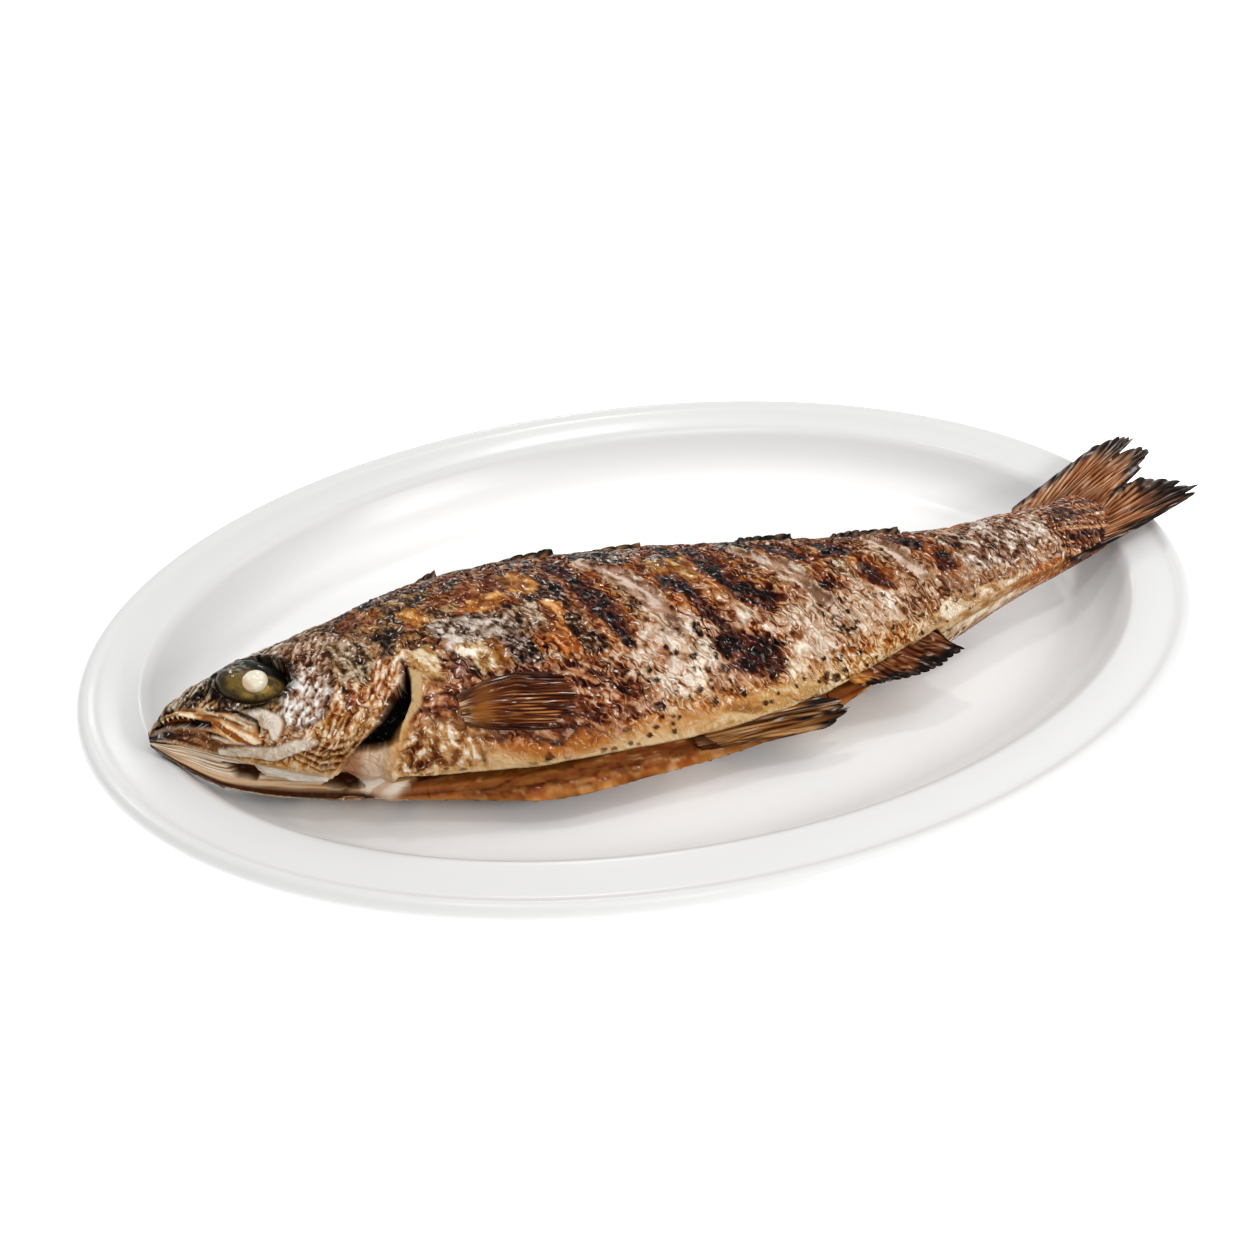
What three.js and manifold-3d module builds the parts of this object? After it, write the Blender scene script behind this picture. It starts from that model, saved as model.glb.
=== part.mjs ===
// Whole grilled fish on its oval porcelain platter, in millimetres, +Z up.
// The fish lies on its right side with its head towards -X and its back towards +Y.
import * as THREE from "three";
import { mergeVertices } from "three/addons/utils/BufferGeometryUtils.js";
import Module from "manifold-3d";

const wasm = await Module();
wasm.setup();

// ---------------------------------------------------------------- driving dimensions

const PLATTER_LENGTH = 355;
const PLATTER_WIDTH = 244;
const PLATTER_SEGMENTS = 60;
const FLOOR_HEIGHT = 9; // top of the well's floor, on which the fish lies
const RECESS_HEIGHT = 2.6; // underside of the base, inside the foot ring

// The platter's wall as [distance in from the lip, height]: from the well's floor over the
// crest and the lip, down the outside and under the foot ring.
const PLATTER_WALL = [
  [41, FLOOR_HEIGHT], [37, 9.5], [33, 11.2], [29.5, 14.2], [26, 18.2], [22.8, 23],
  [20.6, 25.8], [18, 27.3], [13, 27.5], [6.5, 27.1], [3.4, 28], [1.1, 27.2], [0, 25],
  [1.1, 22.8], [4, 21.9], [14, 21.6], [19, 20], [24, 14.4], [29, 8.4], [34, 4.6], [39, 3],
  [44, 2.4], [44.8, 0], [51.2, 0], [52, RECESS_HEIGHT],
];

const MID_HEIGHT = 33; // the plane that parts the fish's left side, on top, from its right
const CLEARANCE = 0.3; // gap between pieces that touch
const WALL_GAP_SHARE = 0.04;

// The trunk's stations along X. The section's upper arc runs from the back to the upper belly
// flap, its lower arc from the lower flap to the back. The slit between the flaps goes in by
// slitDepth. up and down are the half thicknesses of the left and the right side. keel tells how
// far the right side draws in under its flap: it is the power of its section there.
const STATIONS = {
  x: [-157, -150, -138, -120, -100, -75, -45, -10, 25, 60, 90, 115, 135, 150, 161],
  back: [-21.5, -14, -8.3, -2.4, 4.6, 14, 17, 12.5, 6, -1.5, -4, 0.5, 5, 11.5, 12.5],
  upperFlap: [-23.5, -25, -33, -43.5, -52.4, -58.6, -62.4, -62.9, -58.5, -47, -35.4, -26, -20.3, -15, -5],
  upperFlapZ: [32.5, 31, 30.5, 30, 30, 30, 30, 30, 30, 31.5, 32.5, 33, 33, 33, 33],
  lowerFlap: [-23.5, -28.5, -36.5, -43.5, -49.5, -58, -66, -64, -59, -47.6, -35.6, -26.2, -20.4, -15.1, -5.1],
  lowerFlapZ: [32, 27, 22, 19.5, 18.9, 19.2, 19.5, 20, 20, 26, 31, 32, 32.4, 32.6, 32.8],
  slitDepth: [0, 0.5, 1.5, 3, 3, 12, 24, 26, 22, 1, 0, 0, 0, 0, 0],
  up: [2.2, 7.6, 12.8, 18.4, 22, 24.5, 25.5, 25.5, 24, 21, 17, 13, 9.5, 5.6, 1.3],
  down: [2.2, 7.5, 13, 19, 22.5, 23.6, 23.7, 23.7, 23.6, 21, 16.5, 12, 8.5, 5, 1.2],
  keel: [0.8, 1.6, 2.1, 2.3, 2.4, 2.3, 2.2, 1.95, 2, 1.75, 0.8, 0.8, 0.8, 0.8, 0.8],
};
const FULLNESS_UP = 0.85; // below 1 the section is squarer than an ellipse
const FULLNESS_DOWN = 0.8;
const FLAP_SHARE = 0.36; // part of the slit's height that each flap's cut edge takes
const HEAD_END = -84;
const HEAD_STEP = 4.6;
const TRUNK_STEP = 7.8;
const UP_STEPS = 22;
const SLIT_STEPS = 8;
const DOWN_STEPS = 12;

// Grill bars have pressed these slanting furrows into the left side: [x at the back, x at the
// belly] between two places on the upper arc, where 0 is the back and 1 the belly flap.
const FURROWS = [
  { x: [-36, -21], arc: [0.2, 0.85] },
  { x: [-14, 8], arc: [0.25, 0.92] },
  { x: [5, 22], arc: [0.2, 0.8] },
  { x: [42, 58], arc: [0.25, 0.85] },
  { x: [64, 82], arc: [0.3, 0.85] },
];
const FURROW_HALF_WIDTH = 4.5;
const FURROW_DEPTH = 0.9;

// Each eye is an ellipsoid, turned by yaw about Z and laid over by tilt, in degrees.
const EYE = { x: -126, y: -22.4, z: 44.9, radii: [11, 7.8, 5.6], yaw: -30, tilt: 20 };
const EYE_LENS = { x: -125.5, y: -25, z: 48.6, radii: [3.7, 3.4, 3.1], yaw: 0, tilt: 20 };

// Places on the skin, as [x, arc].
const GILL_COVER_FRONT = [[-104, 0.52], [-104, 0.6], [-105, 0.68], [-109, 0.76], [-115, 0.83], [-121, 0.88]];
const GILL_COVER_REAR = [[-86.5, 0.56], [-85, 0.63], [-87.5, 0.7], [-93, 0.77], [-100, 0.87], [-108, 0.96]];
const GILL_GAP_FRONT = [[-84.6, 0.63], [-87, 0.7], [-92.5, 0.77], [-99.5, 0.87], [-105.5, 0.95]];
const GILL_GAP_REAR = [[-83.6, 0.65], [-83, 0.72], [-86, 0.8], [-91, 0.9], [-94, 0.97]];
const JAW_BONE_TOP = [[-143, 0.66], [-135, 0.7], [-128, 0.74], [-121, 0.77]];
const JAW_BONE_LOW = [[-144, 0.74], [-136, 0.79], [-129, 0.85], [-122, 0.86]];
const GILL_GAP_DEPTH = 7;
const PATCH_ROOT = 1.4; // how deep a raised patch is sunk into the body it grows from

// The mouth, open between the jaws: a wedge seen from above, with the corner last.
const MOUTH = [[-160, -17.6], [-160, -22.4], [-148, -25.4], [-136.5, -30.6], [-147, -22.6]];

// ---------------------------------------------------------------- curves and solids

// Monotone cubic through the points (xs, ys), straight on past its ends.
function smoothCurve(xs, ys) {
  const slopes = xs.slice(1).map((x, i) => (ys[i + 1] - ys[i]) / (x - xs[i]));
  const tangents = xs.map((x, i) => {
    if (i === 0 || i === xs.length - 1) return slopes[Math.min(i, slopes.length - 1)];
    const before = slopes[i - 1];
    const after = slopes[i];
    return before * after > 0 ? (2 * before * after) / (before + after) : 0;
  });
  return (x) => {
    const last = xs.length - 2;
    const i = THREE.MathUtils.clamp(xs.findIndex((knot) => knot > x) - 1, 0, last);
    const k = x >= xs[xs.length - 1] ? last : i;
    const width = xs[k + 1] - xs[k];
    const t = (x - xs[k]) / width;
    const rise = (1 + 2 * t) * (1 - t) ** 2 * ys[k] + t * t * (3 - 2 * t) * ys[k + 1];
    return rise + width * t * (1 - t) * ((1 - t) * tangents[k] - t * tangents[k + 1]);
  };
}

// Points spread evenly by number along a polyline of [a, b] pairs, rounded through its knots.
function along(polyline, share) {
  const knots = polyline.map((_, i) => i / (polyline.length - 1));
  const first = smoothCurve(knots, polyline.map((p) => p[0]));
  const second = smoothCurve(knots, polyline.map((p) => p[1]));
  return [first(share), second(share)];
}

// A closed geometry through rings of equally many points, its ends closed by fans. Its faces
// are turned outwards, whichever way the rings run.
function ringGeometry(rings) {
  const count = rings[0].length;
  const middle = (ring) => ring.reduce((sum, p) => sum.add(p), new THREE.Vector3()).divideScalar(count);
  const points = [...rings.flat(), middle(rings[0]), middle(rings[rings.length - 1])];
  const startFan = points.length - 2;
  const endFan = points.length - 1;
  const endRing = (rings.length - 1) * count;
  const faces = [];
  for (let j = 0; j < count; j++) {
    const next = (j + 1) % count;
    faces.push([startFan, next, j], [endFan, endRing + j, endRing + next]);
    for (let i = 0; i < rings.length - 1; i++) {
      const a = i * count;
      const b = a + count;
      faces.push([a + j, a + next, b + next], [a + j, b + next, b + j]);
    }
  }
  const volume = faces.reduce((sum, [a, b, c]) => {
    return sum + points[a].dot(new THREE.Vector3().crossVectors(points[b], points[c]));
  }, 0);
  const outward = volume > 0 ? faces : faces.map(([a, b, c]) => [a, c, b]);
  const geometry = new THREE.BufferGeometry();
  geometry.setAttribute("position", new THREE.Float32BufferAttribute(points.flatMap((p) => p.toArray()), 3));
  geometry.setIndex(outward.flat());
  return geometry;
}

function toSolid(geometry) {
  const bare = geometry.clone();
  bare.deleteAttribute("normal");
  bare.deleteAttribute("uv");
  const merged = mergeVertices(bare, 1e-4);
  return new wasm.Manifold(new wasm.Mesh({
    numProp: 3,
    vertProperties: new Float32Array(merged.attributes.position.array),
    triVerts: new Uint32Array(merged.index.array),
  }));
}

function toGeometry(solid) {
  const mesh = solid.getMesh();
  const geometry = new THREE.BufferGeometry();
  geometry.setAttribute("position", new THREE.BufferAttribute(mesh.vertProperties, 3));
  geometry.setIndex(new THREE.BufferAttribute(mesh.triVerts, 1));
  geometry.computeVertexNormals();
  return geometry;
}

function named(name, geometry, color, roughness) {
  const material = new THREE.MeshStandardMaterial({ color, roughness, metalness: 0 });
  const mesh = new THREE.Mesh(geometry, material);
  mesh.name = name;
  return mesh;
}

// ---------------------------------------------------------------- platter

// The wall is carried round the oval: each of its points runs on an ellipse whose half axes
// are both shorter by its distance in from the lip.
function platterGeometry() {
  const rings = PLATTER_WALL.map(([inset, height]) => {
    return Array.from({ length: PLATTER_SEGMENTS }, (_, i) => {
      const turn = (2 * Math.PI * i) / PLATTER_SEGMENTS;
      const x = (PLATTER_LENGTH / 2 - inset) * Math.cos(turn);
      const y = (PLATTER_WIDTH / 2 - inset) * Math.sin(turn);
      return new THREE.Vector3(x, y, height);
    });
  });
  return ringGeometry(rings);
}

const WALL_INSIDE = PLATTER_WALL.slice(0, PLATTER_WALL.findIndex(([inset]) => inset < 4)).reverse();
const wallHeight = smoothCurve(WALL_INSIDE.map((p) => p[0]), WALL_INSIDE.map((p) => p[1]));
const WELL_INSET = PLATTER_WALL[0][0];

// The height of the platter's upper face at a place: that of the wall on the one ellipse that
// passes through it, found by halving.
function platterTop(x, y) {
  let near = 0;
  let far = WELL_INSET;
  for (let i = 0; i < 20; i++) {
    const inset = (near + far) / 2;
    const outside = Math.hypot(x / (PLATTER_LENGTH / 2 - inset), y / (PLATTER_WIDTH / 2 - inset)) > 1;
    if (outside) far = inset;
    else near = inset;
  }
  return far === WELL_INSET ? FLOOR_HEIGHT : wallHeight(far);
}

// ---------------------------------------------------------------- fish

const station = {};
for (const key of Object.keys(STATIONS)) {
  station[key] = smoothCurve(STATIONS.x, STATIONS[key]);
}

// How far the grill's furrows lower the skin at a place.
function furrowAt(x, arc) {
  return FURROWS.reduce((depth, furrow) => {
    const share = (arc - furrow.arc[0]) / (furrow.arc[1] - furrow.arc[0]);
    if (share < 0 || share > 1) return depth;
    const centre = furrow.x[0] + (furrow.x[1] - furrow.x[0]) * share;
    const across = (x - centre) / FURROW_HALF_WIDTH;
    const fade = Math.min(1, 6 * share, 6 * (1 - share));
    return depth + FURROW_DEPTH * fade * Math.exp(-across * across);
  }, 0);
}

// The left side's skin: a squared half ellipse from the back (arc 0) to the belly (arc 1).
function skinUp(x, arc) {
  const turn = Math.PI * arc;
  const back = station.back(x);
  const belly = station.upperFlap(x);
  const y = (back + belly) / 2 + ((back - belly) / 2) * Math.cos(turn);
  const drop = (station.upperFlapZ(x) - MID_HEIGHT) * ((1 - Math.cos(turn)) / 2) ** 2;
  const rise = Math.max(0, station.up(x) - furrowAt(x, arc)) * Math.sin(turn) ** FULLNESS_UP;
  return new THREE.Vector3(x, y, MID_HEIGHT + rise + drop);
}

// The fish has settled on the platter: nothing of it goes lower than a small gap above it. The
// gap grows up the wall, where the oval's flats bulge inwards.
function settled(point) {
  const support = platterTop(point.x, point.y);
  const gap = CLEARANCE + WALL_GAP_SHARE * (support - FLOOR_HEIGHT);
  return point.setZ(Math.max(point.z, support + gap));
}

// The right side's skin, from the lower flap (arc 0) to the back (arc 1).
function skinDown(x, arc) {
  const turn = Math.PI * arc;
  const back = station.back(x);
  const belly = station.lowerFlap(x);
  const y = (back + belly) / 2 - ((back - belly) / 2) * Math.cos(turn);
  const nearFlap = (1 + Math.cos(turn)) / 2;
  const drop = (station.lowerFlapZ(x) - MID_HEIGHT) * nearFlap ** 2;
  const fullness = FULLNESS_DOWN + (station.keel(x) - FULLNESS_DOWN) * nearFlap;
  const sink = station.down(x) * Math.sin(turn) ** fullness;
  return settled(new THREE.Vector3(x, y, MID_HEIGHT - sink + drop));
}

// The slit in the belly, from the upper flap (share 0) in and out again to the lower one.
function slitWall(x, share) {
  const upper = station.upperFlap(x);
  const lower = station.lowerFlap(x);
  const depth = station.slitDepth(x);
  const y = upper + (lower - upper) * share + depth * Math.sin(Math.PI * share) ** 0.6;
  const inner = FLAP_SHARE + (1 - 2 * FLAP_SHARE) * THREE.MathUtils.smoothstep(share, 0.12, 0.88);
  const edge = share < 0.12 ? (FLAP_SHARE * share) / 0.12 : 1 - (FLAP_SHARE * (1 - share)) / 0.12;
  const stepped = share < 0.12 || share > 0.88 ? edge : inner;
  const openness = Math.min(1, depth / 8);
  const level = share + (stepped - share) * openness;
  const top = station.upperFlapZ(x);
  return new THREE.Vector3(x, y, top + (station.lowerFlapZ(x) - top) * level);
}

function trunkSolid() {
  const places = [];
  const start = STATIONS.x[0];
  const end = STATIONS.x[STATIONS.x.length - 1];
  const headSteps = Math.round((HEAD_END - start) / HEAD_STEP);
  const trunkSteps = Math.round((end - HEAD_END) / TRUNK_STEP);
  for (let i = 0; i < headSteps; i++) places.push(start + ((HEAD_END - start) * i) / headSteps);
  for (let i = 0; i <= trunkSteps; i++) places.push(HEAD_END + ((end - HEAD_END) * i) / trunkSteps);
  const rings = places.map((x) => [
    ...Array.from({ length: UP_STEPS }, (_, i) => skinUp(x, i / UP_STEPS)),
    ...Array.from({ length: SLIT_STEPS }, (_, i) => slitWall(x, i / SLIT_STEPS)),
    ...Array.from({ length: DOWN_STEPS }, (_, i) => skinDown(x, i / DOWN_STEPS)),
  ]);
  return toSolid(ringGeometry(rings));
}

// A place on the skin, moved out by height. side is 1 for the left side, -1 for the right.
function onSkin(x, arc, height, side) {
  const place = (a, b) => (side > 0 ? skinUp(a, b) : skinDown(a, 1 - b));
  const here = place(x, arc);
  const alongX = place(x + 1, arc).sub(place(x - 1, arc));
  const alongArc = place(x, arc + 0.01).sub(place(x, arc - 0.01));
  const normal = new THREE.Vector3().crossVectors(alongX, alongArc).normalize();
  if (normal.z * side < 0) normal.negate();
  return settled(here.addScaledVector(normal, height));
}

// A raised or sunken patch between two lines on the skin: the solid under a surface that
// swells to peak halfway between them and lies bottom away from the skin on its inner face.
function patchSolid(lineA, lineB, side, { steps, across, peak, edge, bottom }) {
  const rings = Array.from({ length: steps + 1 }, (_, i) => {
    const [xa, arcA] = along(lineA, i / steps);
    const [xb, arcB] = along(lineB, i / steps);
    const at = (share, height) => onSkin(xa + (xb - xa) * share, arcA + (arcB - arcA) * share, height, side);
    const outer = Array.from({ length: across + 1 }, (_, j) => {
      const share = j / across;
      return at(share, edge + (peak - edge) * Math.sin(Math.PI * share));
    });
    const inner = Array.from({ length: across + 1 }, (_, j) => at(1 - j / across, bottom));
    return [...outer, ...inner];
  });
  return toSolid(ringGeometry(rings));
}

const GILL_COVER = { steps: 8, across: 3, peak: 1.8, edge: 0.7, bottom: -PATCH_ROOT };
const GILL_GAP = { steps: 8, across: 1, peak: 3, edge: 3, bottom: -GILL_GAP_DEPTH };
const JAW_BONE = { steps: 4, across: 2, peak: 1.6, edge: 0.5, bottom: -PATCH_ROOT };

// ---------------------------------------------------------------- fins

// A fin is a thin sheet of rays from a root line to its ragged tips. root and tips are
// polylines of [x, y, z]. Its half thickness goes from rootHalf to tipHalf along normal.
const FINS = {
  tail: {
    root: [
      [124, -21, 33], [136, -17, 33], [147, -11, 33], [153, -3, 33], [154, 4, 33], [148, 9, 33],
      [137, 4, 33], [122, 0.5, 33],
    ],
    tips: [
      [137, -20.6, 33], [150, -16.2, 33], [168, -9.8, 33.5], [186, -2.6, 34], [192.6, 0.4, 34], [186, 2, 34],
      [195.7, 4.6, 34], [184, 6.4, 34], [191.4, 8.2, 34], [184, 11.6, 34], [178, 14, 34], [165.5, 9.8, 34],
      [172, 15, 34], [183, 20, 34], [180, 22.6, 34], [186.4, 24.4, 34], [190.4, 28.4, 34], [188, 31.8, 34],
      [176, 29.4, 34], [189, 36.9, 34], [187.4, 39.2, 34], [183.5, 39.8, 34], [172, 36.2, 34], [160, 29.6, 33.5],
      [143, 19.9, 33], [129, 11.4, 33],
    ],
    steps: 50, along: 3, rootHalf: 3, tipHalf: 0.7, normal: [0, 0, 1],
  },
  anal: {
    root: [[44, -51, 29.5], [60, -44.5, 30.5], [78, -38, 31.5]],
    tips: [[48, -55, 28], [55, -55, 28], [62, -55.6, 28.5], [71, -55.4, 29], [77, -53, 29.5], [84, -49.6, 30], [79, -46.6, 31]],
    steps: 14, along: 3, rootHalf: 1.6, tipHalf: 0.6, normal: [0.1, -0.5, 0.86],
  },
  pelvicUpper: {
    root: [[-7, -58, 30], [-3, -60.5, 26], [1, -61, 22.5]],
    tips: [[33, -57.6, 31], [41, -58.8, 29], [39, -62, 27], [44, -59, 25.5], [34, -63.4, 23]],
    steps: 8, along: 4, rootHalf: 1.5, tipHalf: 0.6, normal: [0, -0.9, 0.45],
  },
  pelvicLower: {
    root: [[-6, -58, 24], [-3, -60, 20], [-1, -57, 17]],
    tips: [[33, -60, 22], [38, -59, 19.5], [35, -56, 17], [36, -52, 15]],
    steps: 6, along: 4, rootHalf: 1.4, tipHalf: 0.6, normal: [0, -0.8, -0.6],
  },
  firstDorsal: {
    root: [[-82, 11, 33], [-62, 13, 33], [-44, 14.5, 33], [-22, 12, 33], [-4, 9.5, 33]],
    tips: [
      [-80, 14.5, 39.5], [-73.5, 18.4, 40], [-69, 21.6, 40.5], [-64.6, 23.9, 40.5], [-65, 18, 39.5], [-59, 18, 39.5],
      [-51, 19, 39.5], [-48, 22.2, 40], [-40, 23.5, 40.5], [-34, 23.9, 40.5], [-26.6, 24.5, 40.5], [-27, 18, 39.5],
      [-20.5, 18, 39.5], [-14, 20.5, 40], [-6.6, 20.6, 40], [1.5, 20, 40], [1, 14, 39.5],
    ],
    steps: 32, along: 2, rootHalf: 1.7, tipHalf: 0.6, normal: [0, -0.6, 0.8],
  },
  secondDorsal: {
    root: [[24, 4.6, 33], [40, 1.7, 33], [58, -3, 33], [80, -5.5, 33]],
    tips: [
      [28.5, 12, 38], [33, 15, 38.5], [40, 14.2, 38.5], [50, 12.8, 38.5], [49.5, 7, 37.5], [59, 5, 37.5],
      [63, 8.6, 38.5], [69, 8.3, 38.5], [75.5, 7.2, 38.5], [84.5, 5.8, 38.5], [84, 0.5, 37.5],
    ],
    steps: 20, along: 2, rootHalf: 1.7, tipHalf: 0.6, normal: [0, -0.6, 0.8],
  },
};

function polylinePoint(polyline, share) {
  const place = share * (polyline.length - 1);
  const i = Math.min(Math.floor(place), polyline.length - 2);
  const from = new THREE.Vector3(...polyline[i]);
  return from.lerp(new THREE.Vector3(...polyline[i + 1]), place - i);
}

function finSolid({ root, tips, steps, along: rows, rootHalf, tipHalf, normal }) {
  const lift = new THREE.Vector3(...normal).normalize();
  const rings = Array.from({ length: steps + 1 }, (_, i) => {
    const share = i / steps;
    const from = polylinePoint(root, share);
    const to = polylinePoint(tips, share);
    const face = (k, sign) => {
      const t = k / rows;
      const half = rootHalf + (tipHalf - rootHalf) * t;
      return from.clone().lerp(to, t).addScaledVector(lift, sign * half);
    };
    const upper = Array.from({ length: rows + 1 }, (_, k) => face(k, 1));
    const lower = Array.from({ length: rows + 1 }, (_, k) => face(rows - k, -1));
    return [...upper, ...lower];
  });
  return toSolid(ringGeometry(rings));
}

// The pectoral fin lies folded back along the flank, so it is a patch on the skin.
const PECTORAL_TOP = [[-79, 0.72], [-68, 0.71], [-56, 0.705], [-44, 0.72], [-36, 0.76]];
const PECTORAL_LOW = [[-77, 0.8], [-70, 0.84], [-60, 0.86], [-48, 0.88], [-36, 0.9]];
const PECTORAL = { steps: 8, across: 3, peak: 1.7, edge: 0.6, bottom: -PATCH_ROOT };

// ---------------------------------------------------------------- eyes

function eyeGeometry({ x, y, z, radii, yaw, tilt }, side, grow = 0) {
  const geometry = new THREE.SphereGeometry(1, 14, 8);
  geometry.scale(radii[0] + grow, radii[1] + grow, radii[2] + grow);
  geometry.rotateZ(THREE.MathUtils.degToRad(yaw));
  geometry.rotateX(THREE.MathUtils.degToRad(tilt * side));
  geometry.translate(x, y, MID_HEIGHT + (z - MID_HEIGHT) * side);
  return geometry;
}

function mouthSolid() {
  const outline = new THREE.Shape(MOUTH.map(([x, y]) => new THREE.Vector2(x, y)));
  const geometry = new THREE.ExtrudeGeometry(outline, { depth: 2 * MID_HEIGHT, bevelEnabled: false });
  return toSolid(geometry);
}

// ---------------------------------------------------------------- assembly

const SIDES = { left: 1, right: -1 };

let fish = trunkSolid();
for (const side of Object.values(SIDES)) {
  fish = fish.add(patchSolid(GILL_COVER_FRONT, GILL_COVER_REAR, side, GILL_COVER));
  fish = fish.add(patchSolid(JAW_BONE_TOP, JAW_BONE_LOW, side, JAW_BONE));
  fish = fish.add(patchSolid(PECTORAL_TOP, PECTORAL_LOW, side, PECTORAL));
  fish = fish.subtract(patchSolid(GILL_GAP_FRONT, GILL_GAP_REAR, side, GILL_GAP));
}
for (const fin of Object.values(FINS)) {
  fish = fish.add(finSolid(fin));
}
fish = fish.subtract(mouthSolid());

const group = new THREE.Group();
group.add(named("plate", platterGeometry(), 0xf2f1ee, 0.12));
for (const [name, side] of Object.entries(SIDES)) {
  const socket = toSolid(eyeGeometry(EYE, side, CLEARANCE));
  const eyeball = toSolid(eyeGeometry(EYE, side)).subtract(toSolid(eyeGeometry(EYE_LENS, side, CLEARANCE)));
  fish = fish.subtract(socket).subtract(toSolid(eyeGeometry(EYE_LENS, side, CLEARANCE)));
  group.add(named(`eyeball_${name}`, toGeometry(eyeball), 0x5d5428, 0.2));
  group.add(named(`eye_lens_${name}`, eyeGeometry(EYE_LENS, side), 0xe8dcbc, 0.3));
}
group.add(named("fish", toGeometry(fish), 0x7a4c28, 0.45));

// The origin is under the middle of everything, on the surface that the platter stands on.
group.updateMatrixWorld(true);
const middle = new THREE.Box3().setFromObject(group).getCenter(new THREE.Vector3());
group.position.set(-middle.x, -middle.y, 0);

export default group;
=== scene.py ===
"""A whole fish, grilled over charcoal and served on an oval porcelain platter."""
import math

import bpy
import numpy as np
from mathutils import Matrix, Vector


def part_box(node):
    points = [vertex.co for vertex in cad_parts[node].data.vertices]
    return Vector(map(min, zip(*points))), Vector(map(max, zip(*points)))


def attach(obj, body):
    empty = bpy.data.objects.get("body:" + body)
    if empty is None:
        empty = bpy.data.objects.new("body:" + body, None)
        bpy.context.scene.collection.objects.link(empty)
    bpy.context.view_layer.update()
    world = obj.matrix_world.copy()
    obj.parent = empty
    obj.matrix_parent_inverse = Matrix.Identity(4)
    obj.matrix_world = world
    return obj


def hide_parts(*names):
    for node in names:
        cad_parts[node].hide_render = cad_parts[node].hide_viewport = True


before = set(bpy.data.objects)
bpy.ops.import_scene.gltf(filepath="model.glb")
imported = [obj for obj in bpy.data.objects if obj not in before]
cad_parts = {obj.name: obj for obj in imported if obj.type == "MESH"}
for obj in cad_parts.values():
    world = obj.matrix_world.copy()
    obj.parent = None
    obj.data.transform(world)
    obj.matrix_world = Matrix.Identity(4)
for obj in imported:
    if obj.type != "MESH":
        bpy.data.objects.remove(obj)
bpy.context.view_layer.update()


# ---------------------------------------------------------------------------
# Room. A white table top in even white light, with two soft lamps at the fish's
# tail and five small ones that glint on its wet skin, seen by a camera that
# looks down on its belly side.

MM = 0.001
plate_low, plate_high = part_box("plate")
PLATTER_MIDDLE = (plate_low + plate_high) / 2
PLATTER_MIDDLE.z = 0.0
LIP_HEIGHT = plate_high.z

VIEW_TURN = math.radians(16.8)
VIEW_DOWN = math.radians(38.5)
VIEW_DISTANCE = 548 * MM
VIEW_ASIDE = -8.7 * MM
VIEW_RAISED = -6.0 * MM
FOCAL_LENGTH, SENSOR_WIDTH = 50, 36

right = Vector((math.cos(VIEW_TURN), -math.sin(VIEW_TURN), 0))
ahead = Vector((math.sin(VIEW_TURN) * math.cos(VIEW_DOWN), math.cos(VIEW_TURN) * math.cos(VIEW_DOWN),
                -math.sin(VIEW_DOWN)))
above = right.cross(ahead)
eye_point = PLATTER_MIDDLE + Vector((0, 0, LIP_HEIGHT))
eye_point += right * VIEW_ASIDE + above * VIEW_RAISED - ahead * VIEW_DISTANCE
camera_data = bpy.data.cameras.new("camera")
camera_data.lens = FOCAL_LENGTH
camera_data.sensor_width = SENSOR_WIDTH
camera = bpy.data.objects.new("camera", camera_data)
turn = Matrix((right, above, -ahead)).transposed()
camera.matrix_world = Matrix.Translation(eye_point) @ turn.to_4x4()
bpy.context.collection.objects.link(camera)
bpy.context.scene.camera = camera
bpy.context.scene.view_settings.view_transform = "Standard"


LAMP_TARGET = (0, 0, 0.02)
GLINT_SIZE = 0.07
GLINTS = [((-0.6, 0.45, 0.7), 1.0), ((-0.15, 0.1, 1.1), 1.1), ((0.15, 0.7, 0.5), 0.6),
          ((-0.35, 0.75, 0.7), 0.6), ((0.1, -0.3, 1.1), 1.1)]
AIR_BRIGHTNESS = 0.66
FLOOR_HALF = 3.0
FLOOR_GLOW = 0.7


def soft_light(name, place, size, power, target=LAMP_TARGET):
    """A square lamp of the given size that faces the target."""
    lamp = bpy.data.lights.new(name, "AREA")
    lamp.size = size
    lamp.energy = power
    body = bpy.data.objects.new(name, lamp)
    body.location = place
    body.rotation_euler = (Vector(target) - Vector(place)).to_track_quat("-Z", "Y").to_euler()
    bpy.context.collection.objects.link(body)


soft_light("top_light", (0.45, -0.1, 0.7), 0.4, 1.2)
soft_light("front_light", (0.42, -0.6, 0.45), 0.2, 2.6, target=(0.1, -0.05, 0.02))
for number, (place, power) in enumerate(GLINTS):
    soft_light(f"glint_light_{number}", place, GLINT_SIZE, power)

world = bpy.data.worlds.new("studio")
bpy.context.scene.world = world
world.use_nodes = True
air = world.node_tree.nodes["Background"]
air.inputs["Color"].default_value = (1, 1, 1, 1)
air.inputs["Strength"].default_value = AIR_BRIGHTNESS

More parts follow.
